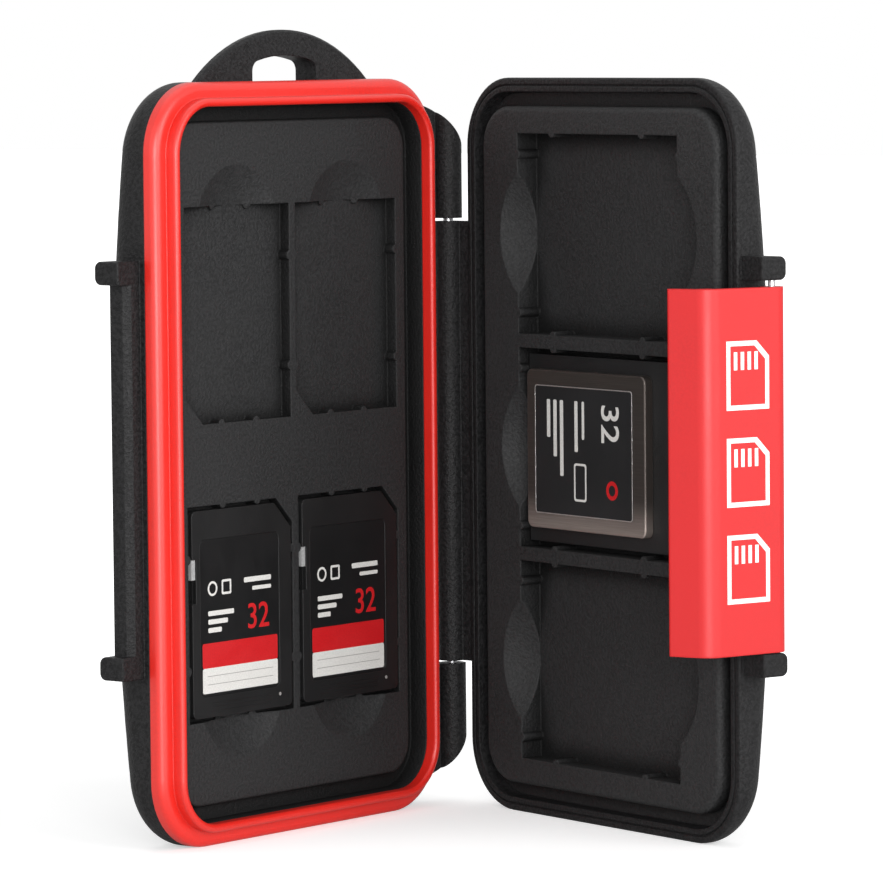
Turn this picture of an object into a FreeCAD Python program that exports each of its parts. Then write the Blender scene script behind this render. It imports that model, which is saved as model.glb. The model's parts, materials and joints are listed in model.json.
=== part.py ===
# Memory card case, standing on its short end and open like a book, in millimetres.
# +Z is up. The base's back plate is square to +Y and the base opens towards -Y.
# The origin is on the floor, on the straight foot strip of the base's lower end, half way along it.
# Lid, latch and large card are drawn in the lid's own frame, with the hinge axis as origin and the lid
# closed, and are then turned about the hinge axis by the opening angle.
import FreeCAD
import Part
import Sketcher
import math
import os

SIZES = {
    # outline that base and lid share: the pockets' space and the margins round it
    "small_side_margin": 8.55,
    "small_end_margin": 19.05,
    "large_side_margin": 14.2,
    "large_end_margin": 8.8,
    "corner_radius": 11.0,
    "back_round": 4.5,
    "crown_rise": 3.933,
    "floor_thick": 1.6,
    "inner_round": 2.5,
    "fit_gap": 0.02,
    "run_gap": 0.05,
    # base
    "base_depth": 10.3,
    "foot_set": 1.1,
    "base_wall": 2.95,
    # lid
    "lid_depth": 9.7,
    "lid_edge_round": 0.4,
    "rim_line_set": 1.05,
    "rim_line_wide": 0.3,
    "rim_line_deep": 0.3,
    "open_angle": 73.2,
    # hinge
    "axis_gap": 4.1,
    "axis_drop": 0.7,
    "knuckle_radius": 2.25,
    "knuckle_half": 35.6,
    "knuckle_gap": 0.5,
    "knuckle_end_set": 3.9,
    "knuckle_root": 4.0,
    "hinge_pin_radius": 0.8,
    "pin_recess": 0.3,
    # seal
    "seal_height": 2.4,
    "seal_gap": 0.06,
    "flange_round": 1.3,
    "bead_round": 0.55,
    "neck_thick": 0.5,
    "bead_lip": 0.77,
    "bead_gap": 0.25,
    "bead_height": 2.0,
    "bead_thick": 2.0,
    # small card
    "small_width": 24.0,
    "small_length": 32.0,
    "small_thick": 2.1,
    "small_corner": 4.0,
    "small_round": 0.9,
    "small_cover": 0.7,
    "small_board_edge": 2.0,
    "small_board_thick": 0.6,
    "small_label_left": 1.8,
    "small_label_right": 3.0,
    "small_label_top": 4.5,
    "small_label_foot": 3.2,
    "label_thick": 0.1,
    "label_set": 0.14,
    "label_round": 1.1,
    "contact_wide": 1.6,
    "contact_long": 4.2,
    "contact_pitch": 2.5,
    "contact_set": 1.2,
    "lock_top": 7.4,
    "lock_long": 3.2,
    "lock_travel": 3.6,
    "lock_wide": 0.9,
    "lock_tongue": 0.5,
    "lock_tongue_thick": 0.5,
    # base insert
    "insert_drop": 1.7,
    "moat_wide": 2.3,
    "moat_deep": 1.6,
    "face_round": 0.5,
    "small_pocket_deep": 1.9,
    "small_slack_side": 1.4,
    "small_slack_end": 1.4,
    "small_web_side": 1.5,
    "small_web_end": 12.5,
    "small_scoop_half": 9.1,
    "small_scoop_reach": 6.3,
    "nub_radius": 0.75,
    "nub_stand": 0.6,
    "small_nub_long": 8.6,
    "small_nub_short": 4.2,
    # lid insert
    "channel_gap": 0.78,
    "large_rise": 0.35,
    "channel_deep": 2.45,
    "large_edge_round": 1.0,
    "large_pocket_deep": 3.9,
    "large_slack_side": 2.5,
    "large_slack_end": 2.0,
    "large_web": 2.2,
    "large_scoop_half": 9.65,
    "large_scoop_reach": 4.7,
    "large_nub_long": 11.5,
    "large_nub_short": 12.6,
    # large card
    "large_width": 38.5,
    "large_height": 29.8,
    "large_rest_gap": 0.1,
    "large_round": 1.2,
    "large_frame_thick": 2.0,
    "large_plate_thick": 0.3,
    "large_plate_edge": 0.7,
    "large_board_thick": 1.2,
    "large_top_width": 30.6,
    "large_top_height": 25.2,
    "large_top_set": 1.2,
    "large_thick": 3.8,
    "large_label_width": 25.2,
    "large_label_height": 20.4,
    "large_label_set": 2.3,
    # ears, catch bar and latch
    "ear_stand": 5.1,
    "ear_thick": 3.6,
    "ear_clear": 56.5,
    "ear_root": 1.5,
    "ear_round": 1.1,
    "ear_edge": 0.35,
    "base_ear_set": 1.0,
    "base_ear_deep": 4.7,
    "lid_ear_set": 0.75,
    "lid_ear_deep": 4.7,
    "bar_stand": 3.0,
    "bar_deep": 3.4,
    "bar_bevel": 1.0,
    "latch_pin_stand": 3.3,
    "latch_pin_set": 3.95,
    "latch_pin_radius": 0.55,
    "pin_bite": 2.4,
    "barrel_radius": 1.75,
    "latch_thick": 1.65,
    "latch_reach": 13.5,
    "lip_run": 6.5,
    "lip_rise": 3.0,
    "hook_stand": 1.7,
    "latch_play": 0.25,
    "latch_slack": 1.1,
    "latch_end_gap": 0.12,
    "bend_round": 3.2,
    "latch_edge_round": 0.5,
    # cord loop
    "loop_span": 42.2,
    "loop_rise": 7.9,
    "loop_thick": 4.2,
    "loop_set": 0.47,
    "loop_root": 1.6,
    "loop_edge_thick": 1.3,
    "loop_edge_bevel": 0.4,
    "loop_slope": 3.2,
    "slot_span": 15.8,
    "slot_rise": 3.9,
    "slot_root": 0.9,
    "slot_round": 1.7,
}
SMALL_NAMES = ("left", "right")
CONTACTS = 8
KNUCKLE_SECTOR = 110.0
WALL_SHARE = 0.9
TOLERANCE = 1e-4
LEVEL_TOLERANCE = 0.01


class Size:
    """A length that keeps both its value and the sheet formula behind it."""

    def __init__(self, value, text):
        self.value = value
        self.text = text

    def __add__(self, other):
        return joined(self, "+", other)

    def __radd__(self, other):
        return joined(other, "+", self)

    def __sub__(self, other):
        return joined(self, "-", other)

    def __rsub__(self, other):
        return joined(other, "-", self)

    def __mul__(self, other):
        return joined(self, "*", other)

    def __rmul__(self, other):
        return joined(other, "*", self)

    def __truediv__(self, other):
        return joined(self, "/", other)

    def __neg__(self):
        return joined(0.0, "-", self)


def as_size(number):
    if isinstance(number, Size):
        return number
    return Size(float(number), repr(float(number)))


def joined(first, sign, second):
    one = as_size(first)
    two = as_size(second)
    values = {
        "+": one.value + two.value,
        "-": one.value - two.value,
        "*": one.value * two.value,
        "/": one.value / two.value if two.value else 0.0,
    }
    return Size(values[sign], "(%s %s %s)" % (one.text, sign, two.text))


def root(number):
    return Size(math.sqrt(number.value), "sqrt(%s)" % number.text)


def most(one, two):
    return Size(max(one.value, two.value), "max(%s; %s)" % (one.text, two.text))


def least(one, two):
    return Size(min(one.value, two.value), "min(%s; %s)" % (one.text, two.text))


doc = FreeCAD.newDocument("card_case")
sheet = doc.addObject("Spreadsheet::Sheet", "Sizes")
for row, (word, number) in enumerate(SIZES.items(), start=1):
    sheet.set("A%d" % row, word)
    sheet.set("B%d" % row, repr(number))
    sheet.setAlias("B%d" % row, word)
doc.recompute()
S = {word: Size(number, "Sizes." + word) for word, number in SIZES.items()}


def derive(word, size):
    """Adds to the sheet a size that follows from others."""
    row = len(S) + 1
    sheet.set("A%d" % row, word)
    sheet.set("B%d" % row, "=" + size.text.replace("Sizes.", ""))
    sheet.setAlias("B%d" % row, word)
    S[word] = Size(size.value, "Sizes." + word)


def corner_drop(inset):
    """How far the crown falls away at a corner of the outline that is set in by a distance."""
    run = (S["corner_radius"] - inset) * math.sqrt(0.5) - S["corner_radius"]
    across = S["case_width"] / 2 + run
    along = S["case_length"] / 2 + run
    ball = S["crown_radius"]
    return ball - root(ball * ball - across * across - along * along)


derive("small_pocket_wide", S["small_width"] + S["small_slack_side"])
derive("small_pocket_long", S["small_length"] + S["small_slack_end"])
derive("small_pitch_side", S["small_pocket_wide"] + S["small_web_side"])
derive("small_pitch_end", S["small_pocket_long"] + S["small_web_end"])
derive("large_pocket_wide", S["large_width"] + S["large_slack_side"])
derive("large_pocket_tall", S["large_height"] + S["large_slack_end"])
derive("large_pitch", S["large_pocket_tall"] + S["large_web"])
derive("case_width", most(
    S["small_pitch_side"] + S["small_pocket_wide"] + 2 * S["small_side_margin"],
    S["large_pocket_wide"] + 2 * S["large_side_margin"]))
derive("case_length", most(
    S["small_pitch_end"] + S["small_pocket_long"] + 2 * S["small_end_margin"],
    2 * S["large_pitch"] + S["large_pocket_tall"] + 2 * S["large_end_margin"]))
derive("crown_radius", S["case_length"] * S["case_length"] / (8 * S["crown_rise"]) + S["crown_rise"] / 2)
derive("bead_set", S["base_wall"] - S["neck_thick"])
derive("rim_width", S["base_wall"] + S["bead_lip"])
derive("lid_wall", S["bead_set"] - S["bead_gap"])
derive("large_edge_set", S["rim_width"] + S["channel_gap"])
derive("knuckle_end", S["case_length"] / 2 - S["knuckle_end_set"])
derive("latch_long", S["ear_clear"] - S["latch_slack"])
derive("bead_edge", least(S["bead_round"], WALL_SHARE * (S["neck_thick"] + S["bead_lip"]) / 2))
derive("well_deep", S["insert_drop"] + S["bead_height"] - S["bead_thick"] - S["fit_gap"])
derive("moat_set", S["rim_width"] + S["moat_wide"])
for part in ("base", "lid"):
    outer_wall = S[part + "_depth"] - corner_drop(as_size(0.0))
    inner_wall = S[part + "_depth"] - S["floor_thick"] - corner_drop(S[part + "_wall"])
    derive(part + "_back_round", least(S["back_round"], WALL_SHARE * outer_wall))
    derive(part + "_inner_round", least(S["inner_round"], WALL_SHARE * inner_wall))
doc.recompute()


def bind(thing, prop, size):
    thing.setExpression(prop, as_size(size).text)


def new_body(name, in_lid=False):
    body = doc.addObject("PartDesign::Body", name)
    body.Label = name
    if in_lid:
        bind(body, "Placement.Base.x", HINGE_X)
        bind(body, "Placement.Base.y", HINGE_Y)
        body.Placement.Rotation = FreeCAD.Rotation(FreeCAD.Vector(0, 0, 1), SIZES["open_angle"])
        bind(body, "Placement.Rotation.Angle", S["open_angle"])
    return body


def new_sketch(body, name, role, lift=0.0, shift=(0.0, 0.0)):
    """An empty sketch on one of the body's own planes, lifted along that plane's normal."""
    sketch = body.newObject("Sketcher::SketchObject", body.Label + "_" + name)
    planes = [feature for feature in body.Origin.OriginFeatures if feature.Role == role]
    sketch.AttachmentSupport = [(planes[0], "")]
    sketch.MapMode = "FlatFace"
    bind(sketch, "AttachmentOffset.Base.x", shift[0])
    bind(sketch, "AttachmentOffset.Base.y", shift[1])
    bind(sketch, "AttachmentOffset.Base.z", lift)
    return sketch


def front_sketch(body, name, level):
    """A sketch square to Y at the given Y: its axes are X and Z."""
    return new_sketch(body, name, "XZ_Plane", -as_size(level))


def plan_sketch(body, name, level):
    """A sketch square to Z at the given Z: its axes are X and Y."""
    return new_sketch(body, name, "XY_Plane", level)


def fix(sketch, segment, end, axis, size):
    """Holds one end of a segment at a distance from the sketch's origin along X or Y."""
    size = as_size(size)
    if abs(size.value) < TOLERANCE:
        line = -2 if axis == "X" else -1
        sketch.addConstraint(Sketcher.Constraint("PointOnObject", segment, end, line))
        return
    index = sketch.addConstraint(Sketcher.Constraint("Distance" + axis, -1, 1, segment, end, size.value))
    sketch.setExpression("Constraints[%d]" % index, size.text)


def arc_between(start, stop, radius, left):
    """The arc of a radius from start to stop with its centre on the left or right of that way."""
    mid = (start + stop) * 0.5
    half = (stop - start) * 0.5
    side = FreeCAD.Vector(-half.y, half.x, 0)
    side.normalize()
    rise = math.sqrt(max(radius * radius - half.Length * half.Length, 0.0))
    centre = mid + side * (rise if left else -rise)
    first, last = (start, stop) if left else (stop, start)
    angle_first = math.atan2(first.y - centre.y, first.x - centre.x)
    angle_last = math.atan2(last.y - centre.y, last.x - centre.x)
    if angle_last <= angle_first:
        angle_last += 2 * math.pi
    circle = Part.Circle(centre, FreeCAD.Vector(0, 0, 1), radius)
    return Part.ArcOfCircle(circle, angle_first, angle_last)


def draw_path(sketch, points, arcs=None):
    """A closed outline. arcs gives, for a segment's number, its radius and the centre's side."""
    arcs = arcs or {}
    spots = [FreeCAD.Vector(as_size(x).value, as_size(y).value, 0) for x, y in points]
    count = len(points)
    ends = []
    for number in range(count):
        start = spots[number]
        stop = spots[(number + 1) % count]
        if number in arcs:
            radius, side = arcs[number]
            left = side == "left"
            segment = sketch.addGeometry(arc_between(start, stop, radius.value, left), False)
            index = sketch.addConstraint(Sketcher.Constraint("Radius", segment, radius.value))
            sketch.setExpression("Constraints[%d]" % index, radius.text)
            ends.append((segment, 1, 2) if left else (segment, 2, 1))
        else:
            segment = sketch.addGeometry(Part.LineSegment(start, stop), False)
            ends.append((segment, 1, 2))
    for number in range(count):
        here = ends[number]
        before = ends[number - 1]
        sketch.addConstraint(Sketcher.Constraint("Coincident", before[0], before[2], here[0], here[1]))
        fix(sketch, here[0], here[1], "X", points[number][0])
        fix(sketch, here[0], here[1], "Y", points[number][1])


def draw_box(sketch, left, right, low, high):
    draw_path(sketch, [(left, low), (right, low), (right, high), (left, high)])


def draw_round_box(sketch, left, right, low, high, radius):
    points = [
        (left + radius, low), (right - radius, low), (right, low + radius), (right, high - radius),
        (right - radius, high), (left + radius, high), (left, high - radius), (left, low + radius),
    ]
    draw_path(sketch, points, {number: (radius, "left") for number in (1, 3, 5, 7)})


def draw_circle(sketch, across, up, radius):
    spot = FreeCAD.Vector(as_size(across).value, as_size(up).value, 0)
    segment = sketch.addGeometry(Part.Circle(spot, FreeCAD.Vector(0, 0, 1), radius.value), False)
    index = sketch.addConstraint(Sketcher.Constraint("Radius", segment, radius.value))
    sketch.setExpression("Constraints[%d]" % index, radius.text)
    fix(sketch, segment, 3, "X", across)
    fix(sketch, segment, 3, "Y", up)


def extrude(body, kind, sketch, length, back=False):
    """Pads or pockets a sketch. back runs against the direction the feature takes by itself."""
    before = body.Tip.Shape.Volume if body.Tip else 0.0
    feature = body.newObject("PartDesign::" + kind, sketch.Label + "_" + kind.lower())
    feature.Profile = sketch
    feature.Reversed = back
    bind(feature, "Length", length)
    doc.recompute()
    change = feature.Shape.Volume - before
    if (change > 0) != (kind == "Pad") or abs(change) < TOLERANCE:
        raise RuntimeError("%s changed the volume by %.4f" % (feature.Label, change))
    return feature


def pad(body, sketch, length, back=False):
    return extrude(body, "Pad", sketch, length, back)


def pocket(body, sketch, length, back=False):
    return extrude(body, "Pocket", sketch, length, back)


def turn_cut(body, sketch, angle=360.0):
    """Cuts a sketch turned about its own upright axis, half of the angle to each side of it."""
    before = body.Tip.Shape.Volume
    groove = body.newObject("PartDesign::Groove", sketch.Label + "_cut")
    groove.Profile = sketch
    groove.ReferenceAxis = (sketch, ["V_Axis"])
    groove.Angle = angle
    groove.Midplane = angle < 360.0
    doc.recompute()
    if groove.Shape.Volume >= before:
        raise RuntimeError(groove.Label + " cut nothing")


def dress(body, kind, prop, name, size, names):
    """Rounds or bevels named edges of the body's last feature."""
    if not names:
        raise RuntimeError("no edges found for " + name)
    base = body.Tip
    feature = body.newObject("PartDesign::" + kind, body.Label + "_" + name)
    feature.Base = (base, names)
    bind(feature, prop, size)
    doc.recompute()
    return feature


def find_edges(body, wanted):
    """Names of the edges whose bounding box passes a test."""
    edges = enumerate(body.Tip.Shape.Edges, start=1)
    return ["Edge%d" % number for number, edge in edges if wanted(edge.BoundBox)]


def round_edges(body, name, radius, wanted):
    return dress(body, "Fillet", "Radius", name, radius, find_edges(body, wanted))


def bevel_edges(body, name, size, wanted):
    return dress(body, "Chamfer", "Size", name, size, find_edges(body, wanted))


def crowned_faces(body):
    """Numbers and shapes of the faces with the back's crown, the one nearest the opening first."""
    found = []
    for number, face in enumerate(body.Tip.Shape.Faces, start=1):
        if face.Surface.TypeId == "Part::GeomSphere":
            if abs(face.Surface.Radius - S["crown_radius"].value) < LEVEL_TOLERANCE:
                found.append((number, face))
    return sorted(found, key=lambda item: abs(item[1].CenterOfMass.y))


def round_crown(body, name, radius, face):
    """Rounds the edges round a crowned face."""
    names = []
    for number, edge in enumerate(body.Tip.Shape.Edges, start=1):
        if any(edge.isSame(other) for other in face.Edges):
            names.append("Edge%d" % number)
    dress(body, "Fillet", "Radius", name, radius, names)


def add_crown(body, name, mid_x, back_y, out):
    """Crowns a back: part of a large ball whose top is at back_y. out is the way out of the back along Y."""
    sketch = new_sketch(body, name, "XY_Plane", MID_Z, (mid_x, 0.0))
    ball = S["crown_radius"]
    reach = root(HALF_WIDTH * HALF_WIDTH + MID_Z * MID_Z)
    drop = ball - root(ball * ball - reach * reach)
    beyond = back_y + out * drop
    points = [(0.0, back_y), (reach, back_y - out * drop), (reach, beyond), (0.0, beyond)]
    draw_path(sketch, points, {0: (ball, "right" if out > 0 else "left")})
    turn_cut(body, sketch)


def hollow_out(body, sketch, crown, back):
    """Cuts a sketch down to the crowned back and leaves the floor's thickness."""
    before = body.Tip.Shape.Volume
    feature = body.newObject("PartDesign::Pocket", sketch.Label + "_pocket")
    feature.Profile = sketch
    feature.Reversed = back
    feature.Type = "UpToFace"
    feature.UpToFace = crown
    bind(feature, "Offset", -S["floor_thick"])
    doc.recompute()
    if feature.Shape.Volume >= before:
        raise RuntimeError(feature.Label + " cut nothing")


def flat_at(axis, level):
    """A test for edges that lie wholly at one level of an axis."""
    value = as_size(level).value

    def test(box):
        low = getattr(box, axis + "Min")
        high = getattr(box, axis + "Max")
        return abs(low - value) < LEVEL_TOLERANCE and abs(high - value) < LEVEL_TOLERANCE

    return test


def both(*tests):
    return lambda box: all(test(box) for test in tests)


# Levels of the base along Y: the foot strip is the straight part of the wall behind the rim
BASE_RIM_Y = -S["foot_set"]
BASE_BACK_Y = BASE_RIM_Y + S["base_depth"]
BASE_FLOOR_Y = BASE_BACK_Y - S["floor_thick"]
SEAL_FACE_Y = BASE_RIM_Y - S["seal_height"]
BEAD_TOP_Y = SEAL_FACE_Y - S["bead_height"]
BEAD_FOOT_Y = BEAD_TOP_Y + S["bead_thick"]
BASE_INSERT_Y = SEAL_FACE_Y + S["insert_drop"]
SMALL_FLOOR_Y = BASE_INSERT_Y + S["small_pocket_deep"]
HINGE_Y = SEAL_FACE_Y + S["axis_drop"]
HALF_WIDTH = S["case_width"] / 2
HINGE_X = HALF_WIDTH + S["axis_gap"]
TOP_Z = S["case_length"]
MID_Z = TOP_Z / 2

# Levels of the lid along Y in the lid's own frame, and its side walls along X
LID_RIM_Y = -S["axis_drop"] - S["seal_gap"]
LID_BACK_Y = LID_RIM_Y - S["lid_depth"]
LID_FLOOR_Y = LID_BACK_Y + S["floor_thick"]
CHANNEL_Y = LID_RIM_Y - S["channel_deep"]
LID_INSERT_Y = LID_RIM_Y + S["large_rise"]
LARGE_FLOOR_Y = LID_INSERT_Y - S["large_pocket_deep"]
LID_INNER_X = -S["axis_gap"]
LID_OUTER_X = LID_INNER_X - S["case_width"]
LID_MID_X = (LID_INNER_X + LID_OUTER_X) / 2
EAR_HALF = S["ear_clear"] / 2


def draw_case_outline(sketch, left, right, inset):
    """The case's rounded outline, set in from the outer face by an even distance."""
    draw_round_box(sketch, left + inset, right - inset, as_size(inset), TOP_Z - inset,
                   S["corner_radius"] - inset)


def draw_ears(sketch, outer_x, wall_x):
    """The two ears: plates standing out of the wall on both sides of the latch."""
    for sign in (1, -1):
        near = MID_Z + sign * EAR_HALF
        far = MID_Z + sign * (EAR_HALF + S["ear_thick"])
        low, high = (near, far) if sign > 0 else (far, near)
        draw_box(sketch, outer_x, wall_x, low, high)


def round_ears(body, outer_x, back_y):
    """Rounds the two corners at the back of each ear, then the edges round its outer face."""
    levels = []
    for sign in (1, -1):
        levels.append(flat_at("Z", MID_Z + sign * EAR_HALF))
        levels.append(flat_at("Z", MID_Z + sign * (EAR_HALF + S["ear_thick"])))
    at_back = flat_at("Y", back_y)
    round_edges(body, "ear_corners", S["ear_round"],
                lambda box: at_back(box) and any(level(box) for level in levels))
    round_edges(body, "ear_edges", S["ear_edge"], flat_at("X", outer_x))


def add_scoop(body, name, mid_x, edge_z, way, face_y, depth, out, half, reach, axis):
    """A finger scoop: part of a ball that meets the pocket's floor at the pocket's wall.

    way is the direction from the pocket to the scoop, out the direction out of the face along Y,
    and axis says whether the scoop lies along X or along Z from the pocket.
    """
    inside = (half * half - reach * reach) / (2 * reach)
    above = (half * half - depth * depth) / (2 * depth)
    ball = root(inside * inside + above * above + half * half)
    wide = inside + reach
    centre_x = mid_x - way * inside if axis == "X" else as_size(mid_x)
    centre_z = edge_z - way * inside if axis == "Z" else as_size(edge_z)
    sketch = new_sketch(body, name, "XY_Plane", centre_z, (centre_x, 0.0))
    face = as_size(face_y)
    floor = face - out * depth
    draw_path(sketch, [(0.0, face), (wide, face), (inside, floor), (0.0, floor)],
              {1: (ball, "left" if out < 0 else "right")})
    turn_cut(body, sketch)


def add_nubs(body, name, spots, floor_y, depth, back):
    """Small round nubs in the walls of pockets, from the pocket floor up to the face."""
    sketch = front_sketch(body, name, floor_y)
    for across, up in spots:
        draw_circle(sketch, across, up, S["nub_radius"])
    pad(body, sketch, depth, back)


def nub_spots(mid_x, mid_z, wide, tall, along_side, along_end):
    """Centres of eight nubs, two in each wall of a pocket."""
    buried = S["nub_radius"] - S["nub_stand"]
    spots = []
    for sign in (1, -1):
        for step in (1, -1):
            spots.append((mid_x + sign * (wide / 2 + buried), mid_z + step * along_side))
            spots.append((mid_x + step * along_end, mid_z + sign * (tall / 2 + buried)))
    return spots


# Base shell
base_shell = new_body("base_shell")
sketch = front_sketch(base_shell, "outline", BASE_RIM_Y)
draw_case_outline(sketch, -HALF_WIDTH, HALF_WIDTH, 0.0)
pad(base_shell, sketch, S["base_depth"], True)
add_crown(base_shell, "crown", 0.0, BASE_BACK_Y, 1)
crown_number, crown_face = crowned_faces(base_shell)[0]
base_crown = (base_shell.Tip, ["Face%d" % crown_number])
round_crown(base_shell, "back_edge", S["base_back_round"], crown_face)
sketch = front_sketch(base_shell, "hollow", BASE_RIM_Y)
draw_case_outline(sketch, -HALF_WIDTH, HALF_WIDTH, S["base_wall"])
hollow_out(base_shell, sketch, base_crown, False)
round_crown(base_shell, "floor_edge", S["base_inner_round"], crowned_faces(base_shell)[0][1])

EAR_OUT_X = -HALF_WIDTH - S["ear_stand"]
BAR_OUT_X = -HALF_WIDTH - S["bar_stand"]
EAR_FRONT_Y = BASE_RIM_Y + S["base_ear_set"]
sketch = front_sketch(base_shell, "ears", EAR_FRONT_Y)
draw_ears(sketch, EAR_OUT_X, S["ear_root"] - HALF_WIDTH)
pad(base_shell, sketch, S["base_ear_deep"], True)
round_ears(base_shell, EAR_OUT_X, EAR_FRONT_Y + S["base_ear_deep"])
sketch = front_sketch(base_shell, "bar", EAR_FRONT_Y)
draw_box(sketch, BAR_OUT_X, S["ear_root"] - HALF_WIDTH, MID_Z - EAR_HALF, MID_Z + EAR_HALF)
pad(base_shell, sketch, S["bar_deep"], True)
bevel_edges(base_shell, "bar_lead", S["bar_bevel"], both(flat_at("X", BAR_OUT_X), flat_at("Y", EAR_FRONT_Y)))

# Loop for a cord on the base's upper end
LOOP_FRONT_Y = BASE_RIM_Y + S["loop_set"]
loop_half = S["loop_span"] / 2
loop_radius = (loop_half * loop_half + S["loop_rise"] * S["loop_rise"]) / (2 * S["loop_rise"])
loop_band = S["loop_rise"] - S["slot_rise"]
slot_radius = loop_radius - loop_band
slot_half = S["slot_span"] / 2
loop_centre_z = TOP_Z + S["loop_rise"] - loop_radius
shoulder_z = loop_centre_z + root(slot_radius * slot_radius - slot_half * slot_half)
slot_low_z = TOP_Z - S["slot_root"]
loop_low_z = TOP_Z - S["loop_root"]
loop_waist_z = TOP_Z - loop_centre_z
loop_sections = []
for name, back, set_in in (
    ("loop_front", 0.0, S["loop_edge_bevel"]),
    ("loop_bevel", S["loop_edge_bevel"], 0.0),
    ("loop_edge", S["loop_edge_thick"], 0.0),
    ("loop_back", S["loop_thick"], S["loop_slope"]),
):
    sketch = front_sketch(base_shell, name, LOOP_FRONT_Y + back)
    radius = loop_radius - set_in
    half = root(radius * radius - loop_waist_z * loop_waist_z)
    points = [(-half, loop_low_z), (half, loop_low_z), (half, TOP_Z), (-half, TOP_Z)]
    draw_path(sketch, points, {2: (radius, "left")})
    loop_sections.append(sketch)
loop = base_shell.newObject("PartDesign::AdditiveLoft", "base_shell_loop")
loop.Profile = loop_sections[0]
loop.Sections = loop_sections[1:]
loop.Ruled = True
doc.recompute()
sketch = front_sketch(base_shell, "slot", BASE_RIM_Y)
draw_path(
    sketch,
    [(-slot_half, slot_low_z), (slot_half, slot_low_z), (slot_half, shoulder_z), (-slot_half, shoulder_z)],
    {2: (slot_radius, "left")},
)
pocket(base_shell, sketch, S["base_depth"])
for name, side in (("slot_left", -slot_half), ("slot_right", slot_half)):
    round_edges(base_shell, name, S["slot_round"], both(flat_at("X", side), flat_at("Z", shoulder_z)))

# Hinge knuckles of the base, above and below the lid's long knuckle
KNUCKLE_LOW = S["knuckle_half"] + S["knuckle_gap"]
knuckle_long = S["knuckle_end"] - KNUCKLE_LOW
ARM_BACK_Y = BASE_RIM_Y + S["knuckle_root"]
ARM_ROOT_X = HALF_WIDTH - S["base_wall"] + S["run_gap"]
for name, level in (("upper", MID_Z + KNUCKLE_LOW), ("lower", MID_Z - S["knuckle_end"])):
    sketch = plan_sketch(base_shell, name + "_arm", level)
    draw_path(sketch, [
        (HINGE_X, HINGE_Y), (HINGE_X, HINGE_Y + S["knuckle_radius"]), (HALF_WIDTH, ARM_BACK_Y),
        (ARM_ROOT_X, ARM_BACK_Y), (ARM_ROOT_X, BASE_RIM_Y), (HALF_WIDTH, BASE_RIM_Y),
    ])
    pad(base_shell, sketch, knuckle_long)
    sketch = plan_sketch(base_shell, name + "_barrel", level)
    draw_circle(sketch, HINGE_X, HINGE_Y, S["knuckle_radius"])
    pad(base_shell, sketch, knuckle_long)
ball_y = BASE_RIM_Y + S["knuckle_root"] / 2
axis_run_x = HINGE_X - ARM_ROOT_X
axis_run_y = ball_y - HINGE_Y
axis_run = root(axis_run_x * axis_run_x + axis_run_y * axis_run_y)
far_run = axis_run + S["knuckle_radius"]
near_run = 2 * S["knuckle_gap"]
ball = far_run + S["knuckle_gap"]
for name, sign in (("upper_end", 1), ("lower_end", -1)):
    ball_z = MID_Z + sign * (S["knuckle_end"] - ball)
    sketch = new_sketch(base_shell, name, "XZ_Plane", -ball_y, (ARM_ROOT_X, ball_z))
    near_z = sign * root(ball * ball - near_run * near_run)
    far_z = sign * root(ball * ball - far_run * far_run)
    past_z = sign * far_run + sign * near_run
    points = [(near_run, near_z), (far_run, far_z), (ball, far_z), (ball, past_z), (near_run, past_z)]
    draw_path(sketch, points, {0: (ball, "right" if sign > 0 else "left")})
    turn_cut(base_shell, sketch, KNUCKLE_SECTOR)
sketch = plan_sketch(base_shell, "bore", 0.0)
draw_circle(sketch, HINGE_X, HINGE_Y, S["hinge_pin_radius"] + S["fit_gap"])
pocket(base_shell, sketch, S["case_length"], True)

# Hinge pin
hinge_pin = new_body("hinge_pin")
pin_run = axis_run + S["hinge_pin_radius"]
pin_drop = ball - root(ball * ball - pin_run * pin_run)
pin_half = S["knuckle_end"] - pin_drop - S["pin_recess"]
sketch = plan_sketch(hinge_pin, "round", MID_Z - pin_half)
draw_circle(sketch, HINGE_X, HINGE_Y, S["hinge_pin_radius"])
pad(hinge_pin, sketch, 2 * pin_half)

# Seal: a flange on the base's rim and a bead that stands up inside it
seal = new_body("seal_gasket")
sketch = front_sketch(seal, "flange", BASE_RIM_Y)
draw_case_outline(sketch, -HALF_WIDTH, HALF_WIDTH, 0.0)
pad(seal, sketch, S["seal_height"])
round_edges(seal, "flange_edge", S["flange_round"], flat_at("Y", SEAL_FACE_Y))
sketch = front_sketch(seal, "flange_hole", SEAL_FACE_Y)
draw_case_outline(sketch, -HALF_WIDTH, HALF_WIDTH, S["base_wall"])
pocket(seal, sketch, S["seal_height"])
sketch = front_sketch(seal, "neck", SEAL_FACE_Y)
draw_case_outline(sketch, -HALF_WIDTH, HALF_WIDTH, S["bead_set"])
draw_case_outline(sketch, -HALF_WIDTH, HALF_WIDTH, S["base_wall"])
pad(seal, sketch, S["bead_height"])
sketch = front_sketch(seal, "bead", BEAD_FOOT_Y)
draw_case_outline(sketch, -HALF_WIDTH, HALF_WIDTH, S["bead_set"])
draw_case_outline(sketch, -HALF_WIDTH, HALF_WIDTH, S["rim_width"])
pad(seal, sketch, S["bead_thick"])
round_edges(seal, "bead_edge", S["bead_edge"], flat_at("Y", BEAD_TOP_Y))

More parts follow.
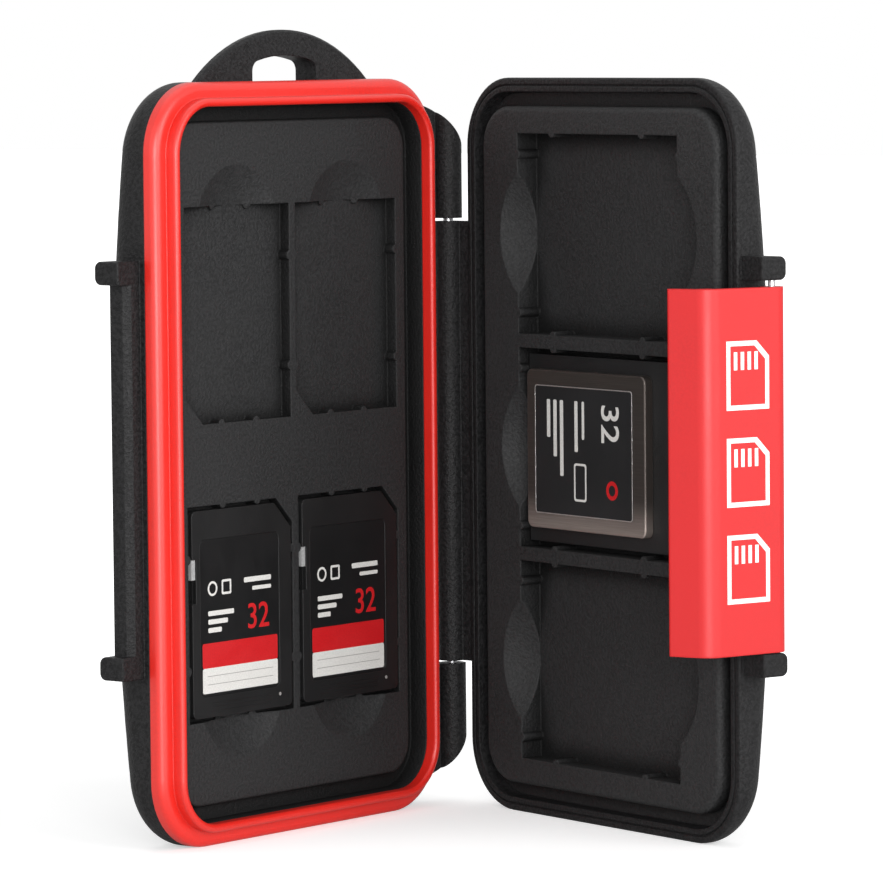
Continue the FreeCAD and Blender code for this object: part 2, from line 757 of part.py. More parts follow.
# Base insert: a soft tray with four pockets for small cards
base_insert = new_body("base_insert")
insert_set = S["base_wall"] + S["fit_gap"]
sketch = front_sketch(base_insert, "block", BEAD_FOOT_Y + S["fit_gap"])
draw_case_outline(sketch, -HALF_WIDTH, HALF_WIDTH, insert_set)
pad(base_insert, sketch, BASE_FLOOR_Y - BEAD_FOOT_Y - S["fit_gap"], True)
add_crown(base_insert, "crown", 0.0, BASE_FLOOR_Y - S["fit_gap"], 1)
round_crown(base_insert, "back_edge", S["base_inner_round"], crowned_faces(base_insert)[0][1])
sketch = front_sketch(base_insert, "well", BEAD_FOOT_Y + S["fit_gap"])
draw_case_outline(sketch, -HALF_WIDTH, HALF_WIDTH, S["rim_width"])
pocket(base_insert, sketch, S["well_deep"])
sketch = front_sketch(base_insert, "moat", BASE_INSERT_Y)
draw_case_outline(sketch, -HALF_WIDTH, HALF_WIDTH, S["rim_width"])
draw_case_outline(sketch, -HALF_WIDTH, HALF_WIDTH, S["moat_set"])
pocket(base_insert, sketch, S["moat_deep"])
round_edges(base_insert, "face_edge", S["face_round"], flat_at("Y", BASE_INSERT_Y))

COLUMNS = (-S["small_pitch_side"] / 2, S["small_pitch_side"] / 2)
LOWER_ROW = MID_Z - S["small_pitch_end"] / 2
UPPER_ROW = MID_Z + S["small_pitch_end"] / 2


def round_posts(body, corners, radius):
    """Rounds the edges that stand along Y at the given corners."""
    tests = [both(flat_at("X", across), flat_at("Z", up)) for across, up in corners]
    round_edges(body, "corners", radius, lambda box: any(test(box) for test in tests))


def draw_card_outline(sketch, mid_x, mid_z, wide, tall, corner, turn):
    """A small card's outline with its one cut corner. turn is -1 for a card lying the other way up."""
    half_x = turn * wide / 2
    half_z = turn * tall / 2
    cut = turn * corner
    near_x = mid_x - half_x
    far_x = mid_x + half_x
    near_z = mid_z - half_z
    far_z = mid_z + half_z
    points = [(near_x, near_z), (far_x, near_z), (far_x, far_z - cut), (far_x - cut, far_z), (near_x, far_z)]
    draw_path(sketch, points)


sketch = front_sketch(base_insert, "pockets", BASE_INSERT_Y)
for column in COLUMNS:
    for row_z, turn in ((LOWER_ROW, 1), (UPPER_ROW, -1)):
        draw_card_outline(sketch, column, row_z, S["small_pocket_wide"], S["small_pocket_long"],
                          S["small_corner"], turn)
pocket(base_insert, sketch, S["small_pocket_deep"])
spots = []
for column in COLUMNS:
    for row_z in (LOWER_ROW, UPPER_ROW):
        spots += nub_spots(column, row_z, S["small_pocket_wide"], S["small_pocket_long"],
                           S["small_nub_long"], S["small_nub_short"])
add_nubs(base_insert, "nubs", spots, SMALL_FLOOR_Y, S["small_pocket_deep"], False)
for number, column in enumerate(COLUMNS, start=1):
    for row_name, row_z, way in (("lower", LOWER_ROW, -1), ("upper", UPPER_ROW, 1)):
        edge_z = row_z + way * S["small_pocket_long"] / 2
        add_scoop(base_insert, "scoop_%s_%d" % (row_name, number), column, edge_z, way, BASE_INSERT_Y,
                  S["small_pocket_deep"], -1, S["small_scoop_half"], S["small_scoop_reach"], "Z")

# Small cards in the lower two pockets, labels outwards
for side, column in zip(SMALL_NAMES, COLUMNS):
    prefix = "small_card_%s_" % side
    left_x = column - S["small_width"] / 2
    right_x = column + S["small_width"] / 2
    low_z = LOWER_ROW - S["small_length"] / 2
    high_z = LOWER_ROW + S["small_length"] / 2
    split_y = SMALL_FLOOR_Y - S["small_thick"] + S["small_cover"]
    top_y = SMALL_FLOOR_Y - S["small_thick"]
    notch_high = high_z - S["lock_top"]
    notch_low = notch_high - S["lock_long"] - S["lock_travel"]
    notch_x = left_x + S["lock_wide"]
    tongue_y = (SMALL_FLOOR_Y + split_y) / 2
    tongue_gap = S["lock_tongue_thick"] / 2 + S["run_gap"]
    board_in = S["small_board_edge"]

    housing = new_body(prefix + "base")
    sketch = front_sketch(housing, "outline", SMALL_FLOOR_Y)
    draw_card_outline(sketch, column, LOWER_ROW, S["small_width"], S["small_length"], S["small_corner"], 1)
    pad(housing, sketch, S["small_thick"] - S["small_cover"])
    square_corners = ((left_x, low_z), (right_x, low_z), (left_x, high_z))
    round_posts(housing, square_corners, S["small_round"])
    sketch = front_sketch(housing, "notch", split_y)
    draw_box(sketch, left_x - S["run_gap"], notch_x, notch_low, notch_high)
    pocket(housing, sketch, S["small_thick"])
    sketch = front_sketch(housing, "groove", tongue_y - tongue_gap)
    groove_x = notch_x + S["lock_tongue"] + S["run_gap"]
    draw_box(sketch, left_x + S["lock_wide"] / 2, groove_x, notch_low, notch_high)
    pocket(housing, sketch, 2 * tongue_gap)
    sketch = front_sketch(housing, "well", split_y)
    draw_box(sketch, left_x + board_in, right_x - S["small_corner"],
             low_z + board_in, high_z - S["contact_set"] / 2)
    pocket(housing, sketch, SMALL_FLOOR_Y - split_y - S["label_thick"])
    sketch = front_sketch(housing, "windows", SMALL_FLOOR_Y - S["label_thick"])
    row_half = S["contact_pitch"] * (CONTACTS - 1) / 2
    contacts_mid_x = (left_x + board_in + right_x - S["small_corner"]) / 2
    contact_high = high_z - S["contact_set"]
    for number in range(CONTACTS):
        contact_x = contacts_mid_x - row_half + S["contact_pitch"] * number
        draw_box(sketch, contact_x - S["contact_wide"] / 2, contact_x + S["contact_wide"] / 2,
                 contact_high - S["contact_long"], contact_high)
    pocket(housing, sketch, S["label_thick"])

    board = new_body(prefix + "board")
    sketch = front_sketch(board, "outline", SMALL_FLOOR_Y - S["label_thick"])
    draw_box(sketch, left_x + board_in + S["fit_gap"], right_x - S["small_corner"] - S["fit_gap"],
             low_z + board_in + S["fit_gap"], high_z - S["contact_set"] / 2 - S["fit_gap"])
    pad(board, sketch, S["small_board_thick"])

    cover = new_body(prefix + "cover")
    sketch = front_sketch(cover, "outline", split_y)
    draw_card_outline(sketch, column, LOWER_ROW, S["small_width"], S["small_length"], S["small_corner"], 1)
    pad(cover, sketch, S["small_cover"])
    round_posts(cover, square_corners, S["small_round"])
    sketch = front_sketch(cover, "notch", top_y)
    draw_box(sketch, left_x - S["run_gap"], notch_x, notch_low, notch_high)
    pocket(cover, sketch, S["small_cover"])
    sketch = front_sketch(cover, "label_well", top_y)
    label_box = (left_x + S["small_label_left"], right_x - S["small_label_right"],
                 low_z + S["small_label_foot"], high_z - S["small_label_top"])
    draw_round_box(sketch, *label_box, S["label_round"])
    pocket(cover, sketch, S["label_set"])

    label = new_body(prefix + "label")
    sketch = front_sketch(label, "outline", top_y + S["label_set"])
    draw_round_box(sketch, label_box[0] + S["run_gap"], label_box[1] - S["run_gap"],
                   label_box[2] + S["run_gap"], label_box[3] - S["run_gap"], S["label_round"] - S["run_gap"])
    pad(label, sketch, S["label_thick"])

    lock = new_body(prefix + "lock")
    lock_high = notch_high - S["run_gap"]
    lock_low = lock_high - S["lock_long"] + 2 * S["run_gap"]
    sketch = front_sketch(lock, "head", SMALL_FLOOR_Y - S["small_board_thick"])
    draw_box(sketch, as_size(left_x), notch_x - S["run_gap"], lock_low, lock_high)
    pad(lock, sketch, S["small_thick"] - S["small_board_thick"] - S["label_set"])
    sketch = front_sketch(lock, "tongue", tongue_y + S["lock_tongue_thick"] / 2)
    draw_box(sketch, left_x + S["lock_wide"] / 2, notch_x + S["lock_tongue"] - S["run_gap"],
             lock_low, lock_high)
    pad(lock, sketch, S["lock_tongue_thick"])

# Lid shell
lid_shell = new_body("lid_shell", True)
sketch = front_sketch(lid_shell, "outline", LID_RIM_Y)
draw_case_outline(sketch, LID_OUTER_X, LID_INNER_X, 0.0)
pad(lid_shell, sketch, S["lid_depth"])
add_crown(lid_shell, "crown", LID_MID_X, LID_BACK_Y, -1)
crown_number, crown_face = crowned_faces(lid_shell)[0]
lid_crown = (lid_shell.Tip, ["Face%d" % crown_number])
round_crown(lid_shell, "back_edge", S["lid_back_round"], crown_face)
round_edges(lid_shell, "rim_edge", S["lid_edge_round"], flat_at("Y", LID_RIM_Y))
sketch = front_sketch(lid_shell, "hollow", LID_RIM_Y)
draw_case_outline(sketch, LID_OUTER_X, LID_INNER_X, S["lid_wall"])
hollow_out(lid_shell, sketch, lid_crown, True)
round_crown(lid_shell, "floor_edge", S["lid_inner_round"], crowned_faces(lid_shell)[0][1])
sketch = front_sketch(lid_shell, "rim_line", LID_RIM_Y)
draw_case_outline(sketch, LID_OUTER_X, LID_INNER_X, S["rim_line_set"])
draw_case_outline(sketch, LID_OUTER_X, LID_INNER_X, S["rim_line_set"] + S["rim_line_wide"])
pocket(lid_shell, sketch, S["rim_line_deep"], True)

LID_EAR_OUT_X = LID_OUTER_X - S["ear_stand"]
LID_EAR_FRONT_Y = LID_RIM_Y - S["lid_ear_set"]
sketch = front_sketch(lid_shell, "ears", LID_EAR_FRONT_Y)
draw_ears(sketch, LID_EAR_OUT_X, LID_OUTER_X + S["ear_root"])
pad(lid_shell, sketch, S["lid_ear_deep"])
round_ears(lid_shell, LID_EAR_OUT_X, LID_EAR_FRONT_Y - S["lid_ear_deep"])
LATCH_PIN_X = LID_OUTER_X - S["latch_pin_stand"]
LATCH_PIN_Y = LID_RIM_Y - S["latch_pin_set"]
sketch = plan_sketch(lid_shell, "pin_holes", MID_Z - EAR_HALF - S["pin_bite"])
draw_circle(sketch, LATCH_PIN_X, LATCH_PIN_Y, S["latch_pin_radius"] + S["fit_gap"])
pocket(lid_shell, sketch, S["ear_clear"] + 2 * S["pin_bite"], True)

sketch = plan_sketch(lid_shell, "arm", MID_Z - S["knuckle_half"])
draw_path(sketch, [
    (0.0, 0.0), (LID_INNER_X, LID_RIM_Y - S["lid_edge_round"]),
    (LID_INNER_X - S["ear_root"], LID_RIM_Y - S["lid_edge_round"]),
    (LID_INNER_X - S["ear_root"], LID_RIM_Y - S["knuckle_root"]),
    (LID_INNER_X, LID_RIM_Y - S["knuckle_root"]), (0.0, -S["knuckle_radius"]),
])
pad(lid_shell, sketch, 2 * S["knuckle_half"])
sketch = plan_sketch(lid_shell, "barrel", MID_Z - S["knuckle_half"])
draw_circle(sketch, 0.0, 0.0, S["knuckle_radius"])
pad(lid_shell, sketch, 2 * S["knuckle_half"])
sketch = plan_sketch(lid_shell, "bore", MID_Z - S["knuckle_half"])
draw_circle(sketch, 0.0, 0.0, S["hinge_pin_radius"] + S["run_gap"])
pocket(lid_shell, sketch, 2 * S["knuckle_half"], True)

# Lid insert: a soft tray with three pockets for large cards and a channel round it for the seal's bead
lid_insert = new_body("lid_insert", True)
sketch = front_sketch(lid_insert, "block", LID_FLOOR_Y)
draw_case_outline(sketch, LID_OUTER_X, LID_INNER_X, S["lid_wall"] + S["fit_gap"])
pad(lid_insert, sketch, LID_INSERT_Y - LID_FLOOR_Y, True)
add_crown(lid_insert, "crown", LID_MID_X, LID_FLOOR_Y + S["fit_gap"], -1)
round_crown(lid_insert, "back_edge", S["lid_inner_round"], crowned_faces(lid_insert)[0][1])
sketch = front_sketch(lid_insert, "channel", CHANNEL_Y)
draw_case_outline(sketch, LID_OUTER_X, LID_INNER_X, S["large_edge_set"])
draw_case_outline(sketch, LID_OUTER_X, LID_INNER_X, S["lid_wall"])
pocket(lid_insert, sketch, LID_INSERT_Y - CHANNEL_Y)
round_edges(lid_insert, "face_edge", S["large_edge_round"], flat_at("Y", LID_INSERT_Y))
LARGE_ROWS = [MID_Z + S["large_pitch"] * step for step in (-1, 0, 1)]
sketch = front_sketch(lid_insert, "pockets", LID_INSERT_Y)
for row_z in LARGE_ROWS:
    draw_box(sketch, LID_MID_X - S["large_pocket_wide"] / 2, LID_MID_X + S["large_pocket_wide"] / 2,
             row_z - S["large_pocket_tall"] / 2, row_z + S["large_pocket_tall"] / 2)
pocket(lid_insert, sketch, S["large_pocket_deep"], True)
spots = []
for row_z in LARGE_ROWS:
    spots += nub_spots(LID_MID_X, row_z, S["large_pocket_wide"], S["large_pocket_tall"],
                       S["large_nub_short"], S["large_nub_long"])
add_nubs(lid_insert, "nubs", spots, LARGE_FLOOR_Y, S["large_pocket_deep"], True)
for number, row_z in enumerate(LARGE_ROWS, start=1):
    for side_name, way in (("hinge", 1), ("latch", -1)):
        edge_x = LID_MID_X + way * S["large_pocket_wide"] / 2
        add_scoop(lid_insert, "scoop_%s_%d" % (side_name, number), edge_x, row_z, way, LID_INSERT_Y,
                  S["large_pocket_deep"], 1, S["large_scoop_half"], S["large_scoop_reach"], "X")

# Large card in the middle pocket
card_right = LID_MID_X + S["large_pocket_wide"] / 2 - S["nub_stand"] - S["large_rest_gap"]
card_left = card_right - S["large_width"]
card_low = MID_Z - S["large_height"] / 2
card_high = MID_Z + S["large_height"] / 2
frame_low_y = LARGE_FLOOR_Y + S["large_plate_thick"]
frame_high_y = frame_low_y + S["large_frame_thick"]
card_top_y = LARGE_FLOOR_Y + S["large_thick"]
skin = S["large_plate_edge"]
top_right = card_right - S["large_top_set"]
top_left = top_right - S["large_top_width"]
top_low = MID_Z - S["large_top_height"] / 2
top_high = MID_Z + S["large_top_height"] / 2
window = (top_left + skin, top_right - skin, top_low + skin, top_high - skin)

plate = new_body("large_card_back", True)
sketch = front_sketch(plate, "outline", LARGE_FLOOR_Y)
draw_box(sketch, card_left + S["large_plate_edge"], card_right - S["large_plate_edge"],
         card_low + S["large_plate_edge"], card_high - S["large_plate_edge"])
pad(plate, sketch, S["large_plate_thick"], True)

frame = new_body("large_card_frame", True)
sketch = front_sketch(frame, "outline", frame_low_y)
draw_box(sketch, card_left, card_right, card_low, card_high)
draw_box(sketch, *window)
pad(frame, sketch, S["large_frame_thick"], True)

board = new_body("large_card_board", True)
sketch = front_sketch(board, "outline", frame_low_y)
draw_box(sketch, window[0] + S["fit_gap"], window[1] - S["fit_gap"],
         window[2] + S["fit_gap"], window[3] - S["fit_gap"])
pad(board, sketch, S["large_board_thick"], True)

top = new_body("large_card_top", True)
sketch = front_sketch(top, "outline", frame_high_y)
draw_round_box(sketch, top_left, top_right, top_low, top_high, S["large_round"])
pad(top, sketch, card_top_y - frame_high_y, True)
round_edges(top, "edge", S["large_plate_thick"], flat_at("Y", card_top_y))
sketch = front_sketch(top, "hollow", frame_high_y)
draw_box(sketch, *window)
pocket(top, sketch, card_top_y - frame_high_y - skin)

label = new_body("large_card_label", True)
sketch = front_sketch(label, "outline", card_top_y)
label_right = top_right - S["large_label_set"]
draw_round_box(sketch, label_right - S["large_label_width"], label_right,
               MID_Z - S["large_label_height"] / 2, MID_Z + S["large_label_height"] / 2,
               S["large_round"] / 2)
pad(label, sketch, S["label_thick"], True)

# Latch, closed over the catch bar when the lid is shut
latch = new_body("latch", True)
latch_low = MID_Z - EAR_HALF + S["latch_end_gap"]
latch_long = S["latch_long"]
outer_x = LATCH_PIN_X - S["barrel_radius"]
inner_x = outer_x + S["latch_thick"]
bend_y = LATCH_PIN_Y + S["latch_reach"]
tip_x = outer_x + S["lip_run"]
tip_y = bend_y + S["lip_rise"]
lip_long = root(S["lip_run"] * S["lip_run"] + S["lip_rise"] * S["lip_rise"])
lip_slope = S["lip_rise"] / S["lip_run"]
tip_in_x = tip_x + S["latch_thick"] * S["lip_rise"] / lip_long
tip_in_y = tip_y - S["latch_thick"] * S["lip_run"] / lip_long
hook_x = inner_x + S["hook_stand"]
hook_top_y = tip_in_y - lip_slope * (tip_in_x - hook_x)
bar_back = S["seal_height"] - S["axis_drop"] + S["base_ear_set"] + S["bar_deep"]
hook_y = bar_back + S["latch_play"]
sketch = plan_sketch(latch, "plate", latch_low)
draw_path(sketch, [
    (outer_x, LATCH_PIN_Y), (inner_x, LATCH_PIN_Y), (inner_x, hook_y), (hook_x, hook_y), (hook_x, hook_top_y),
    (tip_in_x, tip_in_y), (tip_x, tip_y), (outer_x, bend_y),
])
pad(latch, sketch, latch_long)
sketch = plan_sketch(latch, "barrel", latch_low)
draw_circle(sketch, LATCH_PIN_X, LATCH_PIN_Y, S["barrel_radius"])
pad(latch, sketch, latch_long)
round_edges(latch, "bend", S["bend_round"], both(flat_at("X", outer_x), flat_at("Y", bend_y)))
round_edges(latch, "tip_outer", S["latch_edge_round"], both(flat_at("X", tip_x), flat_at("Y", tip_y)))
round_edges(latch, "tip_inner", S["latch_edge_round"], both(flat_at("X", tip_in_x), flat_at("Y", tip_in_y)))
sketch = plan_sketch(latch, "bore", latch_low)
draw_circle(sketch, LATCH_PIN_X, LATCH_PIN_Y, S["latch_pin_radius"] + S["run_gap"])
pocket(latch, sketch, latch_long, True)

latch_pin = new_body("latch_pin", True)
sketch = plan_sketch(latch_pin, "round", MID_Z - EAR_HALF - S["pin_bite"] + S["fit_gap"])
draw_circle(sketch, LATCH_PIN_X, LATCH_PIN_Y, S["latch_pin_radius"])
pad(latch_pin, sketch, S["ear_clear"] + 2 * S["pin_bite"] - 2 * S["fit_gap"])

# Checks, then one file for each piece
doc.recompute()
for thing in doc.Objects:
    if "Invalid" in thing.State or "Error" in thing.State:
        raise RuntimeError("%s did not recompute: %s" % (thing.Label, thing.State))
bodies = [thing for thing in doc.Objects if thing.TypeId == "PartDesign::Body"]
os.makedirs("parts", exist_ok=True)
for body in bodies:
    shape = body.Shape
    if shape.isNull() or not shape.isValid() or len(shape.Solids) != 1:
        raise RuntimeError("%s is not one valid solid" % body.Label)
    shape.exportStep("parts/%s.step" % body.Label)
    box = shape.BoundBox
    print("%-24s %9.1f mm3  X %.2f..%.2f  Y %.2f..%.2f  Z %.2f..%.2f" % (
        body.Label, shape.Volume, box.XMin, box.XMax, box.YMin, box.YMax, box.ZMin, box.ZMax))
print("%d pieces" % len(bodies))
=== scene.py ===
import json
import math
from collections import Counter, namedtuple

import bmesh
import bpy
from bpy.props import FloatProperty, FloatVectorProperty, PointerProperty, StringProperty
from mathutils import Matrix, Vector


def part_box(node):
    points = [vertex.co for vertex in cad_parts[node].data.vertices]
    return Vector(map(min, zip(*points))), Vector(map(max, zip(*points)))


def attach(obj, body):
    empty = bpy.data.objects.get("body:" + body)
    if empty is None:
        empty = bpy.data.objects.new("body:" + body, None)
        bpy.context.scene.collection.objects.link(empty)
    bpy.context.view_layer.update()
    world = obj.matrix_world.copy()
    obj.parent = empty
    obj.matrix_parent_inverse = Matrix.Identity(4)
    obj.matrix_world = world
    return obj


bl_info = {
    "name": "Memory Card Case",
    "version": (1, 0, 0),
    "blender": (4, 5, 0),
    "location": "3D View > Sidebar > Card Case",
    "description": "Finishes, prints and studio stage for a hinged memory card case",
    "category": "Object",
}

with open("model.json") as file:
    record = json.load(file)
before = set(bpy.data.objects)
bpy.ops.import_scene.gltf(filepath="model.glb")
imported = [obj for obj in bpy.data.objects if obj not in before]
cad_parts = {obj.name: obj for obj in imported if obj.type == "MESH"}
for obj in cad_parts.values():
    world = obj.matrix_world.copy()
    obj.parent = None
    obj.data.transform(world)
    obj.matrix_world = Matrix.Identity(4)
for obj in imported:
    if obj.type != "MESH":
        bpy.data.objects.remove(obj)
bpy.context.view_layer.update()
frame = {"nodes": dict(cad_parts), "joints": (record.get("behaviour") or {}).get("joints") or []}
NODES = frame["nodes"]
JOINTS = {joint["name"]: joint for joint in frame["joints"]}
MM = 0.001
SHELLS = ("base_shell", "lid_shell")
SIDES = ("left", "right")
ACROSS = Vector((1, 0, 0))
UP = Vector((0, 0, 1))
WHITE = (1.0, 1.0, 1.0, 1.0)

# The lid's own frame: the hinge axis is its origin, x runs to the hinge side and y out of the lid
HINGE = Vector(JOINTS["lid_hinge"]["pos_m"])
OPEN_ANGLE = math.radians(-JOINTS["lid_hinge"]["range_deg"][0])
LID_FRAME = Matrix.Translation(HINGE) @ Matrix.Rotation(OPEN_ANGLE, 4, "Z")
LID_X = (LID_FRAME.to_3x3() @ Vector((1, 0, 0))).normalized()
LID_Y = (LID_FRAME.to_3x3() @ Vector((0, 1, 0))).normalized()

# Moulded surfaces: noise levels that become 0 and 1, agreement of the rounded and the plain normal where an edge
# begins and where it is full, share of an edge painted paler, as wear and as a painted highlight, in the dullest
# and the brightest patch, open sky where the shade painted into a groove is darkest and where it ends, the painted
# shade of a groove, and height of the grain
NOISE_CUT = (0.3, 0.7)
EDGE_MEET = (0.995, 0.8)
EDGE_WEAR_AND_HIGHLIGHT = (0.15, 0.6)
GROOVE_SHADE_SKY = (0.55, 0.95)
PAINTED_GROOVE_SHADE = 0.18
GRAIN_HEIGHT = 0.1 * MM

# Poles of crowned backs: agreement below which a vertex normal is odd, and the shares of the reach of the faces
# round it between which the vertex normals come back
ODD_NORMAL = 0.9
POLE_CLEAR = (1.05, 1.2)

# Brushed metal: how much slower the noise runs along a line and in the sheen, the shades of plain metal, of its
# painted reflection and of its painted edge highlight, and the height of the lines
LINE_DRAW = (0.012, 1.0, 1.0)
SHEEN_SCALE = 0.12
LINE_SHADES = (0.6, 1.5)
PAINTED_REFLECTION_SHADES = (2.6, 6.4)
PAINTED_EDGE_HIGHLIGHT = 4.0
METALLIC = 0.7
LINE_BUMP = 0.25
LINE_HEIGHT = 0.05 * MM

# Ink: sizes and shades of its unevenness, and how far its roughness strays
INK_GRAIN = 0.25 * MM
INK_PATCH = 4.0 * MM
INK_SHADES = (0.9, 1.06)
INK_STRAY = (-0.06, 0.08)

# Prints, in millimetres from the lower left corner of their ground. A row of five is a box: left, low, right, high
# and corner radius. A row of three is a disc: across, up and radius. A shape inside another is cut out of it.
SMALL_MARKS = (
    (1.9, 9.8, 5.1, 10.55, 0.2), (1.9, 11.1, 6.6, 11.85, 0.2), (1.9, 12.4, 8.1, 13.15, 0.2),
    (3.0, 16.6, 1.15), (3.0, 16.6, 0.8),
    (5.2, 15.5, 7.5, 17.8, 0.3), (5.55, 15.85, 7.15, 17.45, 0.15),
    (10.6, 16.9, 17.2, 17.7, 0.2), (12.6, 15.6, 17.2, 16.2, 0.2),
)
LARGE_MARKS = (
    (3.2, 12.2, 4.05, 18.2, 0.2), (4.9, 9.2, 5.75, 18.2, 0.2), (6.6, 6.2, 7.45, 18.2, 0.2),
    (10.2, 2.4, 13.4, 8.4, 0.5), (10.55, 2.75, 13.05, 8.05, 0.3),
    (10.4, 10.2, 11.2, 18.2, 0.2), (12.3, 12.2, 12.9, 18.2, 0.2),
)
LARGE_SPOT = ((20.0, 4.6, 1.5), (20.0, 4.6, 0.85))
SMALL_NUMBER = (11.2 * MM, 9.7 * MM)
LARGE_NUMBER = (2.2 * MM, 17.4 * MM)

# A small label's white panel and red band, and the ruled lines on the panel
PANEL_EDGE = 0.45 * MM
BAND_LOW = 4.35 * MM
BAND_HIGH = 8.2 * MM
PANEL_ROUND = 0.35 * MM
RULE_LEVELS = (1.75 * MM, 3.05 * MM)
RULE_INSET = 1.6 * MM
RULE_WIDTH = 0.09 * MM

# Fine ribs and a dot at the foot of a small card's cover
RIB_LEVELS = (0.75 * MM, 1.35 * MM, 1.95 * MM)
RIB_LEFT = 4.4 * MM
RIB_RIGHT = 5.2 * MM
RIB_WIDTH = 0.24 * MM
RIB_ROUND = 0.1 * MM
DOT_RIGHT = 3.0 * MM
DOT_UP = 2.0 * MM
DOT_RADIUS = 0.28 * MM

# The bright line round the large label, and the share of the large card's height that carries a painted reflection
RIM_LINE = 0.16 * MM
RIM_ROUND = 0.6 * MM
RIM_ROUND_INSIDE = 0.46 * MM
PAINTED_REFLECTION_SHARE = 0.25

# The card signs on the latch, their left measured from the latch pin, and the shares that set out their contacts
SIGN_LEFT = -10.2 * MM
SIGN_WIDE = 8.2 * MM
SIGN_TALL = 10.4 * MM
SIGN_STEP = 14.6 * MM
SIGN_CUT = 2.4 * MM
CONTACTS = 4
CONTACT_START = 1.9
CONTACT_TOP = 2.2
CONTACT_FOOT = 0.42
CONTACT_FILL = 0.5
CONTACT_CUT = 0.6
CUT_INSET = 0.42

# Height of digits in the built-in typeface for a size of 1, and how much they are thickened
DIGIT_SHARE = 0.72
DIGIT_WEIGHT = 0.012

# Lamps: ahead of the aim, to its right and above it, then size and power in watts
Lamp = namedtuple("Lamp", "ahead right rise size power")
LAMP_AIM = Vector((0.015, -0.03, 0.06))
LAMPS = {
    "key_softbox": Lamp(-0.75, 1.0, 0.35, 0.9, 9.5),
    "fill_softbox": Lamp(-0.8, -0.9, 0.4, 0.9, 2.2),
    "front_softbox": Lamp(-1.1, 0.1, 0.13, 0.5, 10.0),
    "top_softbox": Lamp(0.1, 0.0, 1.0, 1.0, 2.0),
}
SENSOR = 36.0
CLIP = (0.01, 20.0)

# The floor's half width and finish, and the part of white that it shows to the camera by the case and far from it
FLOOR_HALF = 4.0
FLOOR_GRAIN = 1.0 * MM
FLOOR_PATCH = 0.4
FLOOR_SHADES = (0.985, 1.0)
FLOOR_ROUGHNESS = 0.9
FLOOR_SPECULAR = 0.1
FLOOR_WHITE = (0.45, 1.0)
SHADOW_END = 3
WORLD_LIGHT = 0.45


def colour(label, note, default):
    return FloatVectorProperty(name=label, description=note, default=default, size=3, min=0.0, max=1.0,
                               subtype="COLOR_GAMMA")


def length(label, note, default):
    return FloatProperty(name=label, description=note, default=default, min=0.0, unit="LENGTH",
                         subtype="DISTANCE")


def angle(label, note, degrees):
    return FloatProperty(name=label, description=note, default=math.radians(degrees), subtype="ANGLE")


class CaseColours(bpy.types.PropertyGroup):
    """Colours of the case and its cards."""
    shell: colour("Shell", "Hard plastic of base and lid", (0.085, 0.084, 0.086))
    insert: colour("Insert", "Soft trays that hold the cards", (0.12, 0.12, 0.122))
    seal: colour("Seal", "Rubber ring on the rim of the base", (0.82, 0.115, 0.07))
    latch: colour("Latch", "Moulded latch", (0.755, 0.09, 0.10))
    emblem: colour("Latch print", "Print on the latch", (0.95, 0.93, 0.92))
    steel: colour("Pins", "Hinge pin and latch pin", (0.72, 0.72, 0.73))
    card: colour("Card plastic", "Bodies of the cards", (0.08, 0.08, 0.082))
    label: colour("Card label", "Ground of the small cards' labels", (0.075, 0.075, 0.078))
    large_label: colour("Large label", "Ground of the large card's label", (0.13, 0.13, 0.133))
    metal: colour("Card metal", "Top and back of the large card", (0.34, 0.315, 0.30))
    lock: colour("Lock slider", "Write-protect sliders", (0.58, 0.58, 0.58))
    board: colour("Board", "Boards inside the cards", (0.06, 0.22, 0.12))
    ink_white: colour("White ink", "White print on the cards", (0.82, 0.815, 0.80))
    ink_red: colour("Red ink", "Red print on the cards", (0.75, 0.09, 0.11))
    ink_grey: colour("Grey ink", "Ruled lines on the cards", (0.55, 0.54, 0.53))
    rim: colour("Label rim", "Bright line round the large card's label", (0.78, 0.74, 0.72))


class CasePrint(bpy.types.PropertyGroup):
    """Sizes of the prints."""
    ink: length("Ink height", "How far print stands off its ground", 0.02 * MM)
    digits: StringProperty(name="Number", description="Plain number printed on the cards", default="32")
    digit_height: length("Number height", "Height of the number on a small card", 4.0 * MM)
    large_digit_height: length("Large number height", "Height of the number on the large card", 4.6 * MM)
    stroke: length("Line width", "Width of the latch signs' lines", 0.75 * MM)


class CaseStage(bpy.types.PropertyGroup):
    """Camera and floor."""
    lens: FloatProperty(name="Lens", description="Focal length on a 36 mm sensor", default=227.1, unit="CAMERA")
    distance: length("Distance", "From the hinge axis to the camera along the view", 0.89982)
    height: length("Height", "Camera height above the floor", 0.12419)
    aside: FloatProperty(name="Aside", description="Camera to the right of the hinge axis", default=-0.0014,
                         unit="LENGTH")
    turn: angle("Turn", "View direction from +Y towards +X", 52.49)
    dip: angle("Dip", "View below the horizon", 4.17)
    roll: angle("Roll", "Right side of the picture downwards", 0.51)
    floor: colour("Floor", "Pale floor", (0.93, 0.93, 0.93))
    shadow_reach: length("Shadow reach", "How far from the case the floor keeps its shadow", 0.1)


def linear(gamma_colour):
    """A colour as it is seen, in the linear values that shaders take."""
    return tuple(c / 12.92 if c <= 0.04045 else ((c + 0.055) / 1.055) ** 2.4 for c in gamma_colour) + (1.0,)


def shade(gamma_colour, factor):
    return tuple(min(c * factor, 1.0) for c in linear(gamma_colour)[:3]) + (1.0,)


# Node helpers

def named_socket(sockets, word):
    return next(socket for socket in sockets if socket.identifier == word)


def feed(tree, socket, value):
    """Links a socket to another one, or sets it to a value."""
    if isinstance(value, bpy.types.NodeSocket):
        tree.links.new(value, socket)
    else:
        socket.default_value = value


def add_node(tree, kind, inputs=None, **attributes):
    """A node with its attributes set and its inputs given as values or linked from sockets."""
    node = tree.nodes.new(kind)
    for word, value in attributes.items():
        setattr(node, word, value)
    for word, value in (inputs or {}).items():
        feed(tree, node.inputs[word], value)
    return node


